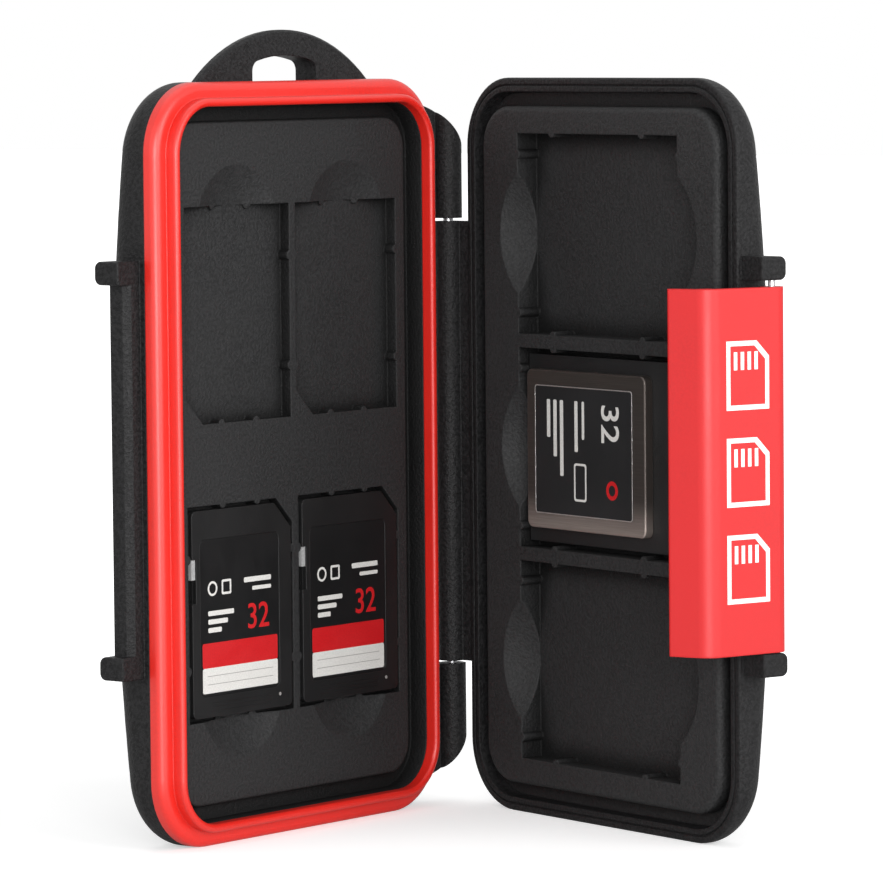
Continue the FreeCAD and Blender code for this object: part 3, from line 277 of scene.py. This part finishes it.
def maths(tree, operation, first, second=0.0):
    return add_node(tree, "ShaderNodeMath", {0: first, 1: second}, operation=operation).outputs[0]


def vector_maths(tree, operation, first, second, result="Vector"):
    node = add_node(tree, "ShaderNodeVectorMath", {0: first, 1: second}, operation=operation)
    return node.outputs[result]


def mix(tree, kind, word, factor, first, second):
    node = add_node(tree, "ShaderNodeMix", data_type=kind)
    for end, value in (("Factor_Float", factor), ("A_" + word, first), ("B_" + word, second)):
        feed(tree, named_socket(node.inputs, end), value)
    return named_socket(node.outputs, "Result_" + word)


def mix_colours(tree, factor, first, second):
    return mix(tree, "RGBA", "Color", factor, first, second)


def spread(tree, value, levels):
    """A value from 0 to 1 set out between two levels."""
    inputs = {"Value": value, "To Min": levels[0], "To Max": levels[1]}
    return add_node(tree, "ShaderNodeMapRange", inputs).outputs["Result"]


def ramp(tree, value, start, end, low=0.0, high=1.0, soft=True):
    """From one level at the start of a range of values to another at its end."""
    inputs = {"Value": value, "From Min": start, "From Max": end, "To Min": low, "To Max": high}
    kind = "SMOOTHSTEP" if soft else "LINEAR"
    return add_node(tree, "ShaderNodeMapRange", inputs, interpolation_type=kind).outputs["Result"]


def object_place(tree):
    return add_node(tree, "ShaderNodeTexCoord").outputs["Object"]


def noise(tree, place, scale, detail, roughness=0.5):
    inputs = {"Vector": place, "Scale": scale, "Detail": detail, "Roughness": roughness}
    return add_node(tree, "ShaderNodeTexNoise", inputs).outputs["Fac"]


def new_group(name, inputs, outputs):
    group = bpy.data.node_groups.new(name, "ShaderNodeTree")
    for label, kind, default in inputs:
        socket = group.interface.new_socket(name=label, in_out="INPUT", socket_type="NodeSocket" + kind)
        socket.default_value = default
    for label, kind in outputs:
        group.interface.new_socket(name=label, in_out="OUTPUT", socket_type="NodeSocket" + kind)
    return group, group.nodes.new("NodeGroupInput").outputs, group.nodes.new("NodeGroupOutput").inputs


def moulded_grain():
    """Fine grain of a moulded surface and slow patches where it has been handled."""
    name = "moulded_grain"
    if name in bpy.data.node_groups:
        return bpy.data.node_groups[name]
    group, enter, leave = new_group(
        name,
        [("Grain Size", "Float", 0.4 * MM), ("Patch Size", "Float", 20.0 * MM)],
        [("Grain", "Float"), ("Patch", "Float")],
    )
    place = object_place(group)
    grain = noise(group, place, maths(group, "DIVIDE", 1.0, enter["Grain Size"]), 2.0, 0.6)
    patch = noise(group, place, maths(group, "DIVIDE", 1.0, enter["Patch Size"]), 4.0, 0.65)
    group.links.new(ramp(group, grain, *NOISE_CUT), leave["Grain"])
    group.links.new(ramp(group, patch, *NOISE_CUT), leave["Patch"])
    return group


def rounded_edges():
    """Small rounds on a piece's edges and a mask of where they are. Where Trust is 0, a face keeps its own
    flat normal."""
    name = "rounded_edges"
    if name in bpy.data.node_groups:
        return bpy.data.node_groups[name]
    group, enter, leave = new_group(
        name,
        [("Radius", "Float", 0.3 * MM), ("Trust", "Float", 1.0)],
        [("Normal", "Vector"), ("Edge", "Float")],
    )
    bevel = add_node(group, "ShaderNodeBevel", {"Radius": enter["Radius"]}, samples=6).outputs["Normal"]
    shape = add_node(group, "ShaderNodeNewGeometry").outputs
    meet = vector_maths(group, "DOT_PRODUCT", bevel, shape["Normal"], "Value")
    edge = maths(group, "MULTIPLY", ramp(group, meet, *EDGE_MEET), enter["Trust"])
    normal = mix(group, "VECTOR", "Vector", enter["Trust"], shape["True Normal"], bevel)
    group.links.new(normal, leave["Normal"])
    group.links.new(edge, leave["Edge"])
    return group


def brushed_lines():
    """Fine straight brush lines on metal, along the lid's width."""
    name = "brushed_lines"
    if name in bpy.data.node_groups:
        return bpy.data.node_groups[name]
    group, enter, leave = new_group(
        name, [("Line Size", "Float", 0.09 * MM)], [("Line", "Float"), ("Sheen", "Float")])
    turn = {"Vector": object_place(group), "Rotation": (0.0, 0.0, -OPEN_ANGLE)}
    turned = add_node(group, "ShaderNodeMapping", turn).outputs["Vector"]
    drawn = vector_maths(group, "MULTIPLY", turned, LINE_DRAW)
    fine = maths(group, "DIVIDE", 1.0, enter["Line Size"])
    slow = maths(group, "MULTIPLY", fine, SHEEN_SCALE)
    group.links.new(noise(group, drawn, fine, 3.0, 0.7), leave["Line"])
    group.links.new(noise(group, drawn, slow, 2.0), leave["Sheen"])
    return group


def place_group(tree, group, **values):
    node = tree.nodes.new("ShaderNodeGroup")
    node.node_tree = group
    for word, value in values.items():
        feed(tree, node.inputs[word.replace("_", " ")], value)
    return node.outputs


def new_material(name):
    material = bpy.data.materials.new(name)
    material.use_nodes = True
    tree = material.node_tree
    tree.nodes.clear()
    surface = tree.nodes.new("ShaderNodeBsdfPrincipled")
    out = tree.nodes.new("ShaderNodeOutputMaterial")
    tree.links.new(surface.outputs["BSDF"], out.inputs["Surface"])
    return material, tree, surface.inputs


def add_relief(tree, surface, strength, distance, height, normal):
    inputs = {"Strength": strength, "Distance": distance, "Height": height, "Normal": normal}
    tree.links.new(add_node(tree, "ShaderNodeBump", inputs).outputs["Normal"], surface["Normal"])


def away_from_poles(tree, poles):
    """1 where vertex normals can be trusted, 0 on the faces round a crowned back's pole."""
    place = object_place(tree)
    trust = 1.0
    for spot, reach in poles:
        away = vector_maths(tree, "DISTANCE", place, spot, "Value")
        clear = ramp(tree, away, POLE_CLEAR[0] * reach, POLE_CLEAR[1] * reach, soft=False)
        trust = maths(tree, "MULTIPLY", clear, trust)
    return trust


def moulded_material(name, tone, grain, patch, roughness, bump, edge, pale=1.5, dark=0.85, specular=0.5,
                     speckle=1.25, groove_shade_reach=0.0, poles=()):
    """Moulded plastic or rubber: grain in the surface, handled patches, edges painted paler, partly as wear and
    partly as a painted highlight, shade painted into grooves where a reach is given for them, and flat normals
    round the poles of crowned backs."""
    material, tree, surface = new_material(name)
    texture = place_group(tree, moulded_grain(), Grain_Size=grain, Patch_Size=patch)
    rounds = place_group(tree, rounded_edges(), Radius=edge, Trust=away_from_poles(tree, poles) if poles else 1.0)
    ground = mix_colours(tree, texture["Patch"], shade(tone, dark), shade(tone, 2.0 - dark))
    speckled = mix_colours(tree, texture["Grain"], ground, shade(tone, speckle))
    # Edges painted paler: partly wear that follows the handled patches, partly a painted highlight along the
    # rounds
    painted_light_and_wear = maths(tree, "MULTIPLY", rounds["Edge"], spread(tree, texture["Patch"], EDGE_WEAR_AND_HIGHLIGHT))
    finish = mix_colours(tree, painted_light_and_wear, speckled, shade(tone, pale))
    # Painted shade: the colour of grooves is darkened by how little open sky the piece's own shape leaves them
    if groove_shade_reach:
        sky = add_node(tree, "ShaderNodeAmbientOcclusion", {"Distance": groove_shade_reach}, samples=6, only_local=True)
        unshaded_share = ramp(tree, sky.outputs["AO"], *GROOVE_SHADE_SKY)
        finish = mix_colours(tree, unshaded_share, shade(tone, PAINTED_GROOVE_SHADE), finish)
    tree.links.new(finish, surface["Base Color"])
    tree.links.new(spread(tree, texture["Patch"], roughness), surface["Roughness"])
    surface["Specular IOR Level"].default_value = specular
    add_relief(tree, surface, bump, GRAIN_HEIGHT, texture["Grain"], rounds["Normal"])
    return material


def metal_material(name, tone, line, roughness, edge, reflection_heights=None):
    """Brushed metal with painted highlights on its edges and a painted reflection towards the lower of two
    heights.
    """
    material, tree, surface = new_material(name)
    brush = place_group(tree, brushed_lines(), Line_Size=line)
    rounds = place_group(tree, rounded_edges(), Radius=edge)
    ground = mix_colours(tree, brush["Line"], *[shade(tone, factor) for factor in LINE_SHADES])
    # Painted reflection: the metal is painted brighter towards the lower height
    if reflection_heights:
        height = add_node(tree, "ShaderNodeSeparateXYZ", {"Vector": object_place(tree)}).outputs["Z"]
        painted_reflection = ramp(tree, height, reflection_heights[1], reflection_heights[0])
        painted_light_and_wear = mix_colours(tree, brush["Line"], *[shade(tone, factor) for factor in PAINTED_REFLECTION_SHADES])
        ground = mix_colours(tree, painted_reflection, ground, painted_light_and_wear)
    # Painted highlight: edges are painted far brighter than the plain metal
    tree.links.new(mix_colours(tree, rounds["Edge"], ground, shade(tone, PAINTED_EDGE_HIGHLIGHT)), surface["Base Color"])
    surface["Metallic"].default_value = METALLIC
    tree.links.new(spread(tree, brush["Sheen"], roughness), surface["Roughness"])
    add_relief(tree, surface, LINE_BUMP, LINE_HEIGHT, brush["Line"], rounds["Normal"])
    return material


def ink_material(name, tone, roughness=0.45):
    """Printed ink, a little uneven."""
    material, tree, surface = new_material(name)
    texture = place_group(tree, moulded_grain(), Grain_Size=INK_GRAIN, Patch_Size=INK_PATCH)
    ground = mix_colours(tree, texture["Grain"], *[shade(tone, factor) for factor in INK_SHADES])
    tree.links.new(ground, surface["Base Color"])
    levels = [roughness + stray for stray in INK_STRAY]
    tree.links.new(spread(tree, texture["Patch"], levels), surface["Roughness"])
    return material


def crown_pole(node):
    """Where the faces of a crowned back meet in one vertex, whose normal is odd, and how far they reach.
    None where every normal agrees with its face."""
    mesh = NODES[node].data
    odd = Counter(
        mesh.loops[corner].vertex_index for face in mesh.polygons for corner in face.loop_indices
        if mesh.corner_normals[corner].vector.dot(face.normal) < ODD_NORMAL)
    if not odd:
        return None
    pole = odd.most_common(1)[0][0]
    spot = mesh.vertices[pole].co.copy()
    around = [vertex for face in mesh.polygons if pole in face.vertices for vertex in face.vertices]
    return spot, max((mesh.vertices[vertex].co - spot).length for vertex in around)


def clothe(nodes, material):
    """Gives pieces of the frame their finish."""
    for node in nodes:
        mesh = NODES[node].data
        mesh.materials.clear()
        mesh.materials.append(material)


# Print shapes, drawn in metres in a plane

def box_loop(left, low, right, high, radius=0.0, steps=6):
    if radius <= 0.0:
        return [(left, low), (right, low), (right, high), (left, high)]
    loop = []
    corners = ((right - radius, low + radius, -90), (right - radius, high - radius, 0),
               (left + radius, high - radius, 90), (left + radius, low + radius, 180))
    for across, up, start in corners:
        for step in range(steps + 1):
            turn = math.radians(start + 90.0 * step / steps)
            loop.append((across + radius * math.cos(turn), up + radius * math.sin(turn)))
    return loop


def disc_loop(across, up, radius, steps=28):
    turns = [2 * math.pi * step / steps for step in range(steps)]
    return [(across + radius * math.cos(turn), up + radius * math.sin(turn)) for turn in turns]


def layout(rows):
    """Loops of the boxes and discs that a print's rows give in millimetres."""
    return [(disc_loop if len(row) == 3 else box_loop)(*[value * MM for value in row]) for row in rows]


def card_loop(left, low, right, high, cut):
    return [(left, low), (right, low), (right, high - cut), (right - cut, high), (left, high)]


def card_sign(left, low, wide, tall, cut, line):
    """A small card as a sign: an outline with one cut corner and a row of contacts."""
    right = left + wide
    high = low + tall
    loops = [card_loop(left, low, right, high, cut),
             card_loop(left + line, low + line, right - line, high - line, cut - CUT_INSET * line)]
    step = (wide - 2 * line - cut * CONTACT_CUT) / CONTACTS
    for number in range(CONTACTS):
        start = left + line * CONTACT_START + step * number
        loops.append(box_loop(start, high - CONTACT_FOOT * tall, start + step * CONTACT_FILL,
                              high - line * CONTACT_TOP))
    return loops


def plane_frame(origin, right, up):
    """Where a drawing lies: right and up in space, and out of the surface towards the viewer."""
    out = right.cross(up)
    matrix = Matrix((right, up, out)).transposed().to_4x4()
    matrix.translation = origin
    return matrix


def settle_print(name, curve, matrix, material, body):
    """Turns a drawing into a thin closed skin that rides on a body."""
    drawing = bpy.data.objects.new(name + "_drawing", curve)
    bpy.context.scene.collection.objects.link(drawing)
    bpy.context.view_layer.update()
    mesh = bpy.data.meshes.new_from_object(drawing.evaluated_get(bpy.context.evaluated_depsgraph_get()))
    bpy.data.objects.remove(drawing)
    solid = bmesh.new()
    solid.from_mesh(mesh)
    bmesh.ops.remove_doubles(solid, verts=solid.verts, dist=1e-7)
    bmesh.ops.recalc_face_normals(solid, faces=solid.faces)
    solid.to_mesh(mesh)
    solid.free()
    if not mesh.polygons:
        raise RuntimeError(name + " came out empty")
    mesh.transform(matrix)
    mesh.materials.clear()
    mesh.materials.append(material)
    piece = bpy.data.objects.new(name, mesh)
    bpy.context.scene.collection.objects.link(piece)
    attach(piece, body)


def print_shapes(name, loops, matrix, material, body):
    ink = bpy.context.scene.card_case_print.ink
    curve = bpy.data.curves.new(name, "CURVE")
    curve.dimensions = "2D"
    curve.fill_mode = "BOTH"
    curve.extrude = ink / 2
    for loop in loops:
        spline = curve.splines.new("POLY")
        spline.points.add(len(loop) - 1)
        for point, (across, up) in zip(spline.points, loop):
            point.co = (across, up, 0.0, 1.0)
        spline.use_cyclic_u = True
    settle_print(name, curve, matrix @ Matrix.Translation((0, 0, ink / 2)), material, body)


def print_number(name, height, spot, matrix, material, body):
    shape = bpy.context.scene.card_case_print
    curve = bpy.data.curves.new(name, "FONT")
    curve.body = shape.digits
    curve.size = height / DIGIT_SHARE
    curve.offset = DIGIT_WEIGHT * height
    curve.extrude = shape.ink / 2
    curve.resolution_u = 6
    lift = Matrix.Translation((spot[0], spot[1], shape.ink / 2))
    settle_print(name, curve, matrix @ lift, material, body)


def lid_box(node):
    """A node's lowest and highest corner in the lid's own frame."""
    back = LID_FRAME.inverted()
    spots = [back @ vertex.co for vertex in NODES[node].data.vertices]
    low = Vector([min(spot[axis] for spot in spots) for axis in range(3)])
    high = Vector([max(spot[axis] for spot in spots) for axis in range(3)])
    return low, high


# Operators: one for each piece or group of like pieces

class CARDCASE_OT_shells(bpy.types.Operator):
    """Finish base shell and lid shell in hard black plastic"""
    bl_idname = "cardcase.shells"
    bl_label = "Shells"

    def execute(self, context):
        poles = [pole for pole in map(crown_pole, SHELLS) if pole]
        material = moulded_material(
            "shell_plastic", context.scene.card_case_colours.shell, grain=0.0005, patch=0.03,
            roughness=(0.44, 0.56), bump=0.6, edge=0.00035, pale=2.6, specular=0.14, speckle=2.4, poles=poles)
        clothe(SHELLS, material)
        return {"FINISHED"}


class CARDCASE_OT_inserts(bpy.types.Operator):
    """Finish the two soft inserts"""
    bl_idname = "cardcase.inserts"
    bl_label = "Inserts"

    def execute(self, context):
        material = moulded_material(
            "insert_foam", context.scene.card_case_colours.insert, grain=0.00045, patch=0.035,
            roughness=(0.58, 0.70), bump=0.55, edge=0.0004, pale=2.2, specular=0.26, speckle=1.9, groove_shade_reach=0.0045)
        clothe(("base_insert", "lid_insert"), material)
        return {"FINISHED"}


class CARDCASE_OT_seal(bpy.types.Operator):
    """Finish the red seal ring"""
    bl_idname = "cardcase.seal"
    bl_label = "Seal"

    def execute(self, context):
        material = moulded_material(
            "seal_rubber", context.scene.card_case_colours.seal, grain=0.0005, patch=0.03,
            roughness=(0.36, 0.46), bump=0.04, edge=0.0003, pale=1.1, dark=0.94, specular=0.75, speckle=1.05)
        clothe(("seal_gasket",), material)
        return {"FINISHED"}


class CARDCASE_OT_latch(bpy.types.Operator):
    """Finish the latch and print its row of card signs"""
    bl_idname = "cardcase.latch"
    bl_label = "Latch"

    def execute(self, context):
        colours = context.scene.card_case_colours
        stroke = context.scene.card_case_print.stroke
        material = moulded_material(
            "latch_plastic", colours.latch, grain=0.0004, patch=0.03, roughness=(0.36, 0.46), bump=0.05,
            edge=0.0004, pale=1.25, dark=0.95, specular=0.5, speckle=1.05)
        clothe(("latch",), material)
        low, high = lid_box("latch")
        pin = LID_FRAME.inverted() @ Vector(JOINTS["latch_hinge"]["pos_m"])
        origin = LID_FRAME @ Vector((low.x, pin.y, (low.z + high.z) / 2))
        matrix = plane_frame(origin, -LID_Y, UP)
        loops = []
        for number in (-1, 0, 1):
            foot = number * SIGN_STEP - SIGN_TALL / 2
            loops += card_sign(SIGN_LEFT, foot, SIGN_WIDE, SIGN_TALL, SIGN_CUT, stroke)
        ink = ink_material("latch_ink", colours.emblem)
        print_shapes("latch_signs", loops, matrix, ink, "latch")
        return {"FINISHED"}


class CARDCASE_OT_pins(bpy.types.Operator):
    """Finish hinge pin and latch pin in drawn steel"""
    bl_idname = "cardcase.pins"
    bl_label = "Pins"

    def execute(self, context):
        material = metal_material("pin_steel", context.scene.card_case_colours.steel, line=0.00006,
                                  roughness=(0.22, 0.34), edge=0.0001)
        clothe(("hinge_pin", "latch_pin"), material)
        return {"FINISHED"}


class CARDCASE_OT_small_cards(bpy.types.Operator):
    """Finish the two small cards and print their labels"""
    bl_idname = "cardcase.small_cards"
    bl_label = "Small Cards"

    def execute(self, context):
        colours = context.scene.card_case_colours
        body = moulded_material(
            "card_plastic", colours.card, grain=0.00025, patch=0.012, roughness=(0.42, 0.52), bump=0.12,
            edge=0.0002, pale=2.2, specular=0.35)
        label = moulded_material(
            "small_label_film", colours.label, grain=0.0002, patch=0.01, roughness=(0.30, 0.38), bump=0.05,
            edge=0.0001, pale=1.3)
        lock = moulded_material(
            "lock_plastic", colours.lock, grain=0.0002, patch=0.004, roughness=(0.45, 0.55), bump=0.2,
            edge=0.00015, pale=1.1)
        board = moulded_material(
            "card_board", colours.board, grain=0.0003, patch=0.006, roughness=(0.3, 0.4), bump=0.1,
            edge=0.0001, pale=1.2)
        white = ink_material("white_ink", colours.ink_white)
        red = ink_material("red_ink", colours.ink_red)
        grey = ink_material("grey_ink", colours.ink_grey)
        for side in SIDES:
            prefix = "small_card_%s_" % side
            clothe((prefix + "base", prefix + "cover"), body)
            clothe((prefix + "label",), label)
            clothe((prefix + "lock",), lock)
            clothe((prefix + "board",), board)
            self.print_label(context.scene.card_case_print, prefix, white, red, grey)
            self.print_cover(prefix, body, grey)
        return {"FINISHED"}

    def print_label(self, shape, prefix, white, red, grey):
        low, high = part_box(prefix + "label")
        matrix = plane_frame(Vector((low.x, low.y, low.z)), ACROSS, UP)
        over = matrix @ Matrix.Translation((0, 0, shape.ink))
        wide = high.x - low.x
        right = wide - PANEL_EDGE
        panel = box_loop(PANEL_EDGE, PANEL_EDGE, right, BAND_LOW, PANEL_ROUND)
        band = box_loop(PANEL_EDGE, BAND_LOW, right, BAND_HIGH, PANEL_ROUND)
        rules = [box_loop(RULE_INSET, level, wide - RULE_INSET, level + RULE_WIDTH) for level in RULE_LEVELS]
        print_shapes(prefix + "panel", [panel], matrix, white, "base")
        print_shapes(prefix + "band", [band], matrix, red, "base")
        print_shapes(prefix + "rules", rules, over, grey, "base")
        print_number(prefix + "number", shape.digit_height, SMALL_NUMBER, matrix, red, "base")
        print_shapes(prefix + "marks", layout(SMALL_MARKS), matrix, white, "base")

    def print_cover(self, prefix, body, grey):
        low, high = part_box(prefix + "cover")
        matrix = plane_frame(Vector((low.x, low.y, low.z)), ACROSS, UP)
        wide = high.x - low.x
        ribs = [box_loop(RIB_LEFT, level, wide - RIB_RIGHT, level + RIB_WIDTH, RIB_ROUND) for level in RIB_LEVELS]
        dot = disc_loop(wide - DOT_RIGHT, DOT_UP, DOT_RADIUS)
        print_shapes(prefix + "ribs", ribs, matrix, body, "base")
        print_shapes(prefix + "dot", [dot], matrix, grey, "base")


class CARDCASE_OT_large_card(bpy.types.Operator):
    """Finish the large card and print its label"""
    bl_idname = "cardcase.large_card"
    bl_label = "Large Card"

    def execute(self, context):
        colours = context.scene.card_case_colours
        shape = context.scene.card_case_print
        foot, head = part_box("large_card_top")
        # The lower share of the large card's top carries a painted reflection
        painted_reflection = (foot.z, foot.z + PAINTED_REFLECTION_SHARE * (head.z - foot.z))
        metal = metal_material("card_metal", colours.metal, line=0.0001, roughness=(0.30, 0.42), edge=0.00022,
                               reflection_heights=painted_reflection)
        frame_plastic = moulded_material(
            "large_frame_plastic", colours.card, grain=0.0002, patch=0.012, roughness=(0.45, 0.55), bump=0.2,
            edge=0.0002)
        label = moulded_material(
            "large_label_film", colours.large_label, grain=0.0002, patch=0.01, roughness=(0.28, 0.36), bump=0.05,
            edge=0.00012, pale=3.0)
        board = moulded_material(
            "large_board", colours.board, grain=0.0003, patch=0.006, roughness=(0.3, 0.4), bump=0.1,
            edge=0.0001, pale=1.2)
        clothe(("large_card_top", "large_card_back"), metal)
        clothe(("large_card_frame",), frame_plastic)
        clothe(("large_card_label",), label)
        clothe(("large_card_board",), board)
        white = ink_material("large_white_ink", colours.ink_white)
        red = ink_material("large_red_ink", colours.ink_red)
        bright = metal_material("label_rim", colours.rim, line=0.0001, roughness=(0.25, 0.35), edge=0.0001)
        low, high = lid_box("large_card_label")
        wide = high.x - low.x
        tall = high.z - low.z
        matrix = plane_frame(LID_FRAME @ Vector((high.x, high.y, low.z)), -LID_X, UP)
        turned = matrix @ Matrix.Translation((0, tall, 0)) @ Matrix.Rotation(math.radians(-90), 4, "Z")
        rim = [box_loop(0.0, 0.0, wide, tall, RIM_ROUND),
               box_loop(RIM_LINE, RIM_LINE, wide - RIM_LINE, tall - RIM_LINE, RIM_ROUND_INSIDE)]
        print_number("large_card_number", shape.large_digit_height, LARGE_NUMBER, turned, white, "lid")
        print_shapes("large_card_marks", layout(LARGE_MARKS), matrix, white, "lid")
        print_shapes("large_card_rim", rim, matrix, bright, "lid")
        print_shapes("large_card_spot", layout(LARGE_SPOT), matrix, red, "lid")
        return {"FINISHED"}


class CARDCASE_OT_stage(bpy.types.Operator):
    """Set floor, lights and camera"""
    bl_idname = "cardcase.stage"
    bl_label = "Stage"

    def execute(self, context):
        stage = context.scene.card_case_stage
        ahead = Vector((math.sin(stage.turn), math.cos(stage.turn), 0.0))
        side = Vector((ahead.y, -ahead.x, 0.0))
        self.add_floor(stage)
        self.add_world()
        for name, lamp in LAMPS.items():
            spot = LAMP_AIM + lamp.ahead * ahead + lamp.right * side + lamp.rise * UP
            self.add_lamp(name, spot, lamp.size, lamp.power)
        context.scene.camera = self.add_camera(stage, ahead, side)
        context.scene.view_settings.view_transform = "Standard"
        return {"FINISHED"}

    def add_camera(self, stage, ahead, side):
        camera = bpy.data.objects.new("camera", bpy.data.cameras.new("camera"))
        bpy.context.scene.collection.objects.link(camera)
        camera.data.sensor_width = SENSOR
        camera.data.lens = stage.lens
        camera.data.clip_start, camera.data.clip_end = CLIP
        look = ahead * math.cos(stage.dip) - UP * math.sin(stage.dip)
        right = side * math.cos(stage.roll) - side.cross(look) * math.sin(stage.roll)
        matrix = Matrix((right, right.cross(look), -look)).transposed().to_4x4()
        spot = HINGE + side * stage.aside - ahead * stage.distance
        matrix.translation = Vector((spot.x, spot.y, stage.height))
        camera.matrix_world = matrix
        return camera

    def add_floor(self, stage):
        mesh = bpy.data.meshes.new("floor")
        corners = [(-1, -1), (1, -1), (1, 1), (-1, 1)]
        mesh.from_pydata([(x * FLOOR_HALF, y * FLOOR_HALF, 0) for x, y in corners], [], [(0, 1, 2, 3)])
        floor = bpy.data.objects.new("floor", mesh)
        bpy.context.scene.collection.objects.link(floor)
        material, tree, surface = new_material("floor_paper")
        texture = place_group(tree, moulded_grain(), Grain_Size=FLOOR_GRAIN, Patch_Size=FLOOR_PATCH)
        ground = mix_colours(tree, texture["Patch"], *[shade(stage.floor, factor) for factor in FLOOR_SHADES])
        tree.links.new(ground, surface["Base Color"])
        surface["Roughness"].default_value = FLOOR_ROUGHNESS
        surface["Specular IOR Level"].default_value = FLOOR_SPECULAR
        seen = tree.nodes.new("ShaderNodeLightPath").outputs["Is Camera Ray"]
        away = add_node(tree, "ShaderNodeVectorMath", {0: object_place(tree)}, operation="LENGTH")
        reach = stage.shadow_reach
        white = ramp(tree, away.outputs["Value"], reach, SHADOW_END * reach, *FLOOR_WHITE)
        surface["Emission Color"].default_value = WHITE
        tree.links.new(maths(tree, "MULTIPLY", seen, white), surface["Emission Strength"])
        mesh.materials.append(material)

    def add_world(self):
        world = bpy.data.worlds.new("studio")
        bpy.context.scene.world = world
        world.use_nodes = True
        tree = world.node_tree
        tree.nodes.clear()
        rays = tree.nodes.new("ShaderNodeLightPath").outputs
        seen = maths(tree, "MAXIMUM", rays["Is Camera Ray"], rays["Is Glossy Ray"])
        seen = maths(tree, "MAXIMUM", seen, rays["Is Transmission Ray"])
        light, white = [
            add_node(tree, "ShaderNodeBackground", {"Color": WHITE, "Strength": strength}).outputs["Background"]
            for strength in (WORLD_LIGHT, 1.0)]
        either = add_node(tree, "ShaderNodeMixShader", {0: seen, 1: light, 2: white})
        out = tree.nodes.new("ShaderNodeOutputWorld")
        tree.links.new(either.outputs["Shader"], out.inputs["Surface"])

    def add_lamp(self, name, spot, size, power):
        lamp = bpy.data.lights.new(name, "AREA")
        lamp.shape = "SQUARE"
        lamp.size = size
        lamp.energy = power
        holder = bpy.data.objects.new(name, lamp)
        bpy.context.scene.collection.objects.link(holder)
        holder.location = spot
        holder.rotation_euler = (LAMP_AIM - spot).to_track_quat("-Z", "Y").to_euler()


class CARDCASE_PT_panel(bpy.types.Panel):
    """Steps that finish the card case"""
    bl_idname = "CARDCASE_PT_panel"
    bl_label = "Card Case"
    bl_space_type = "VIEW_3D"
    bl_region_type = "UI"
    bl_category = "Card Case"

    def draw(self, context):
        for operator in OPERATORS:
            self.layout.operator(operator.bl_idname)


OPERATORS = (CARDCASE_OT_shells, CARDCASE_OT_inserts, CARDCASE_OT_seal, CARDCASE_OT_latch, CARDCASE_OT_pins,
             CARDCASE_OT_small_cards, CARDCASE_OT_large_card, CARDCASE_OT_stage)
CLASSES = (CaseColours, CasePrint, CaseStage) + OPERATORS + (CARDCASE_PT_panel,)


def register():
    for kind in CLASSES:
        bpy.utils.register_class(kind)
    bpy.types.Scene.card_case_colours = PointerProperty(type=CaseColours)
    bpy.types.Scene.card_case_print = PointerProperty(type=CasePrint)
    bpy.types.Scene.card_case_stage = PointerProperty(type=CaseStage)


def unregister():
    del bpy.types.Scene.card_case_stage
    del bpy.types.Scene.card_case_print
    del bpy.types.Scene.card_case_colours
    for kind in reversed(CLASSES):
        bpy.utils.unregister_class(kind)


def main():
    register()
    bpy.ops.cardcase.shells()
    bpy.ops.cardcase.inserts()
    bpy.ops.cardcase.seal()
    bpy.ops.cardcase.latch()
    bpy.ops.cardcase.pins()
    bpy.ops.cardcase.small_cards()
    bpy.ops.cardcase.large_card()
    bpy.ops.cardcase.stage()


if __name__ == "__main__":
    main()
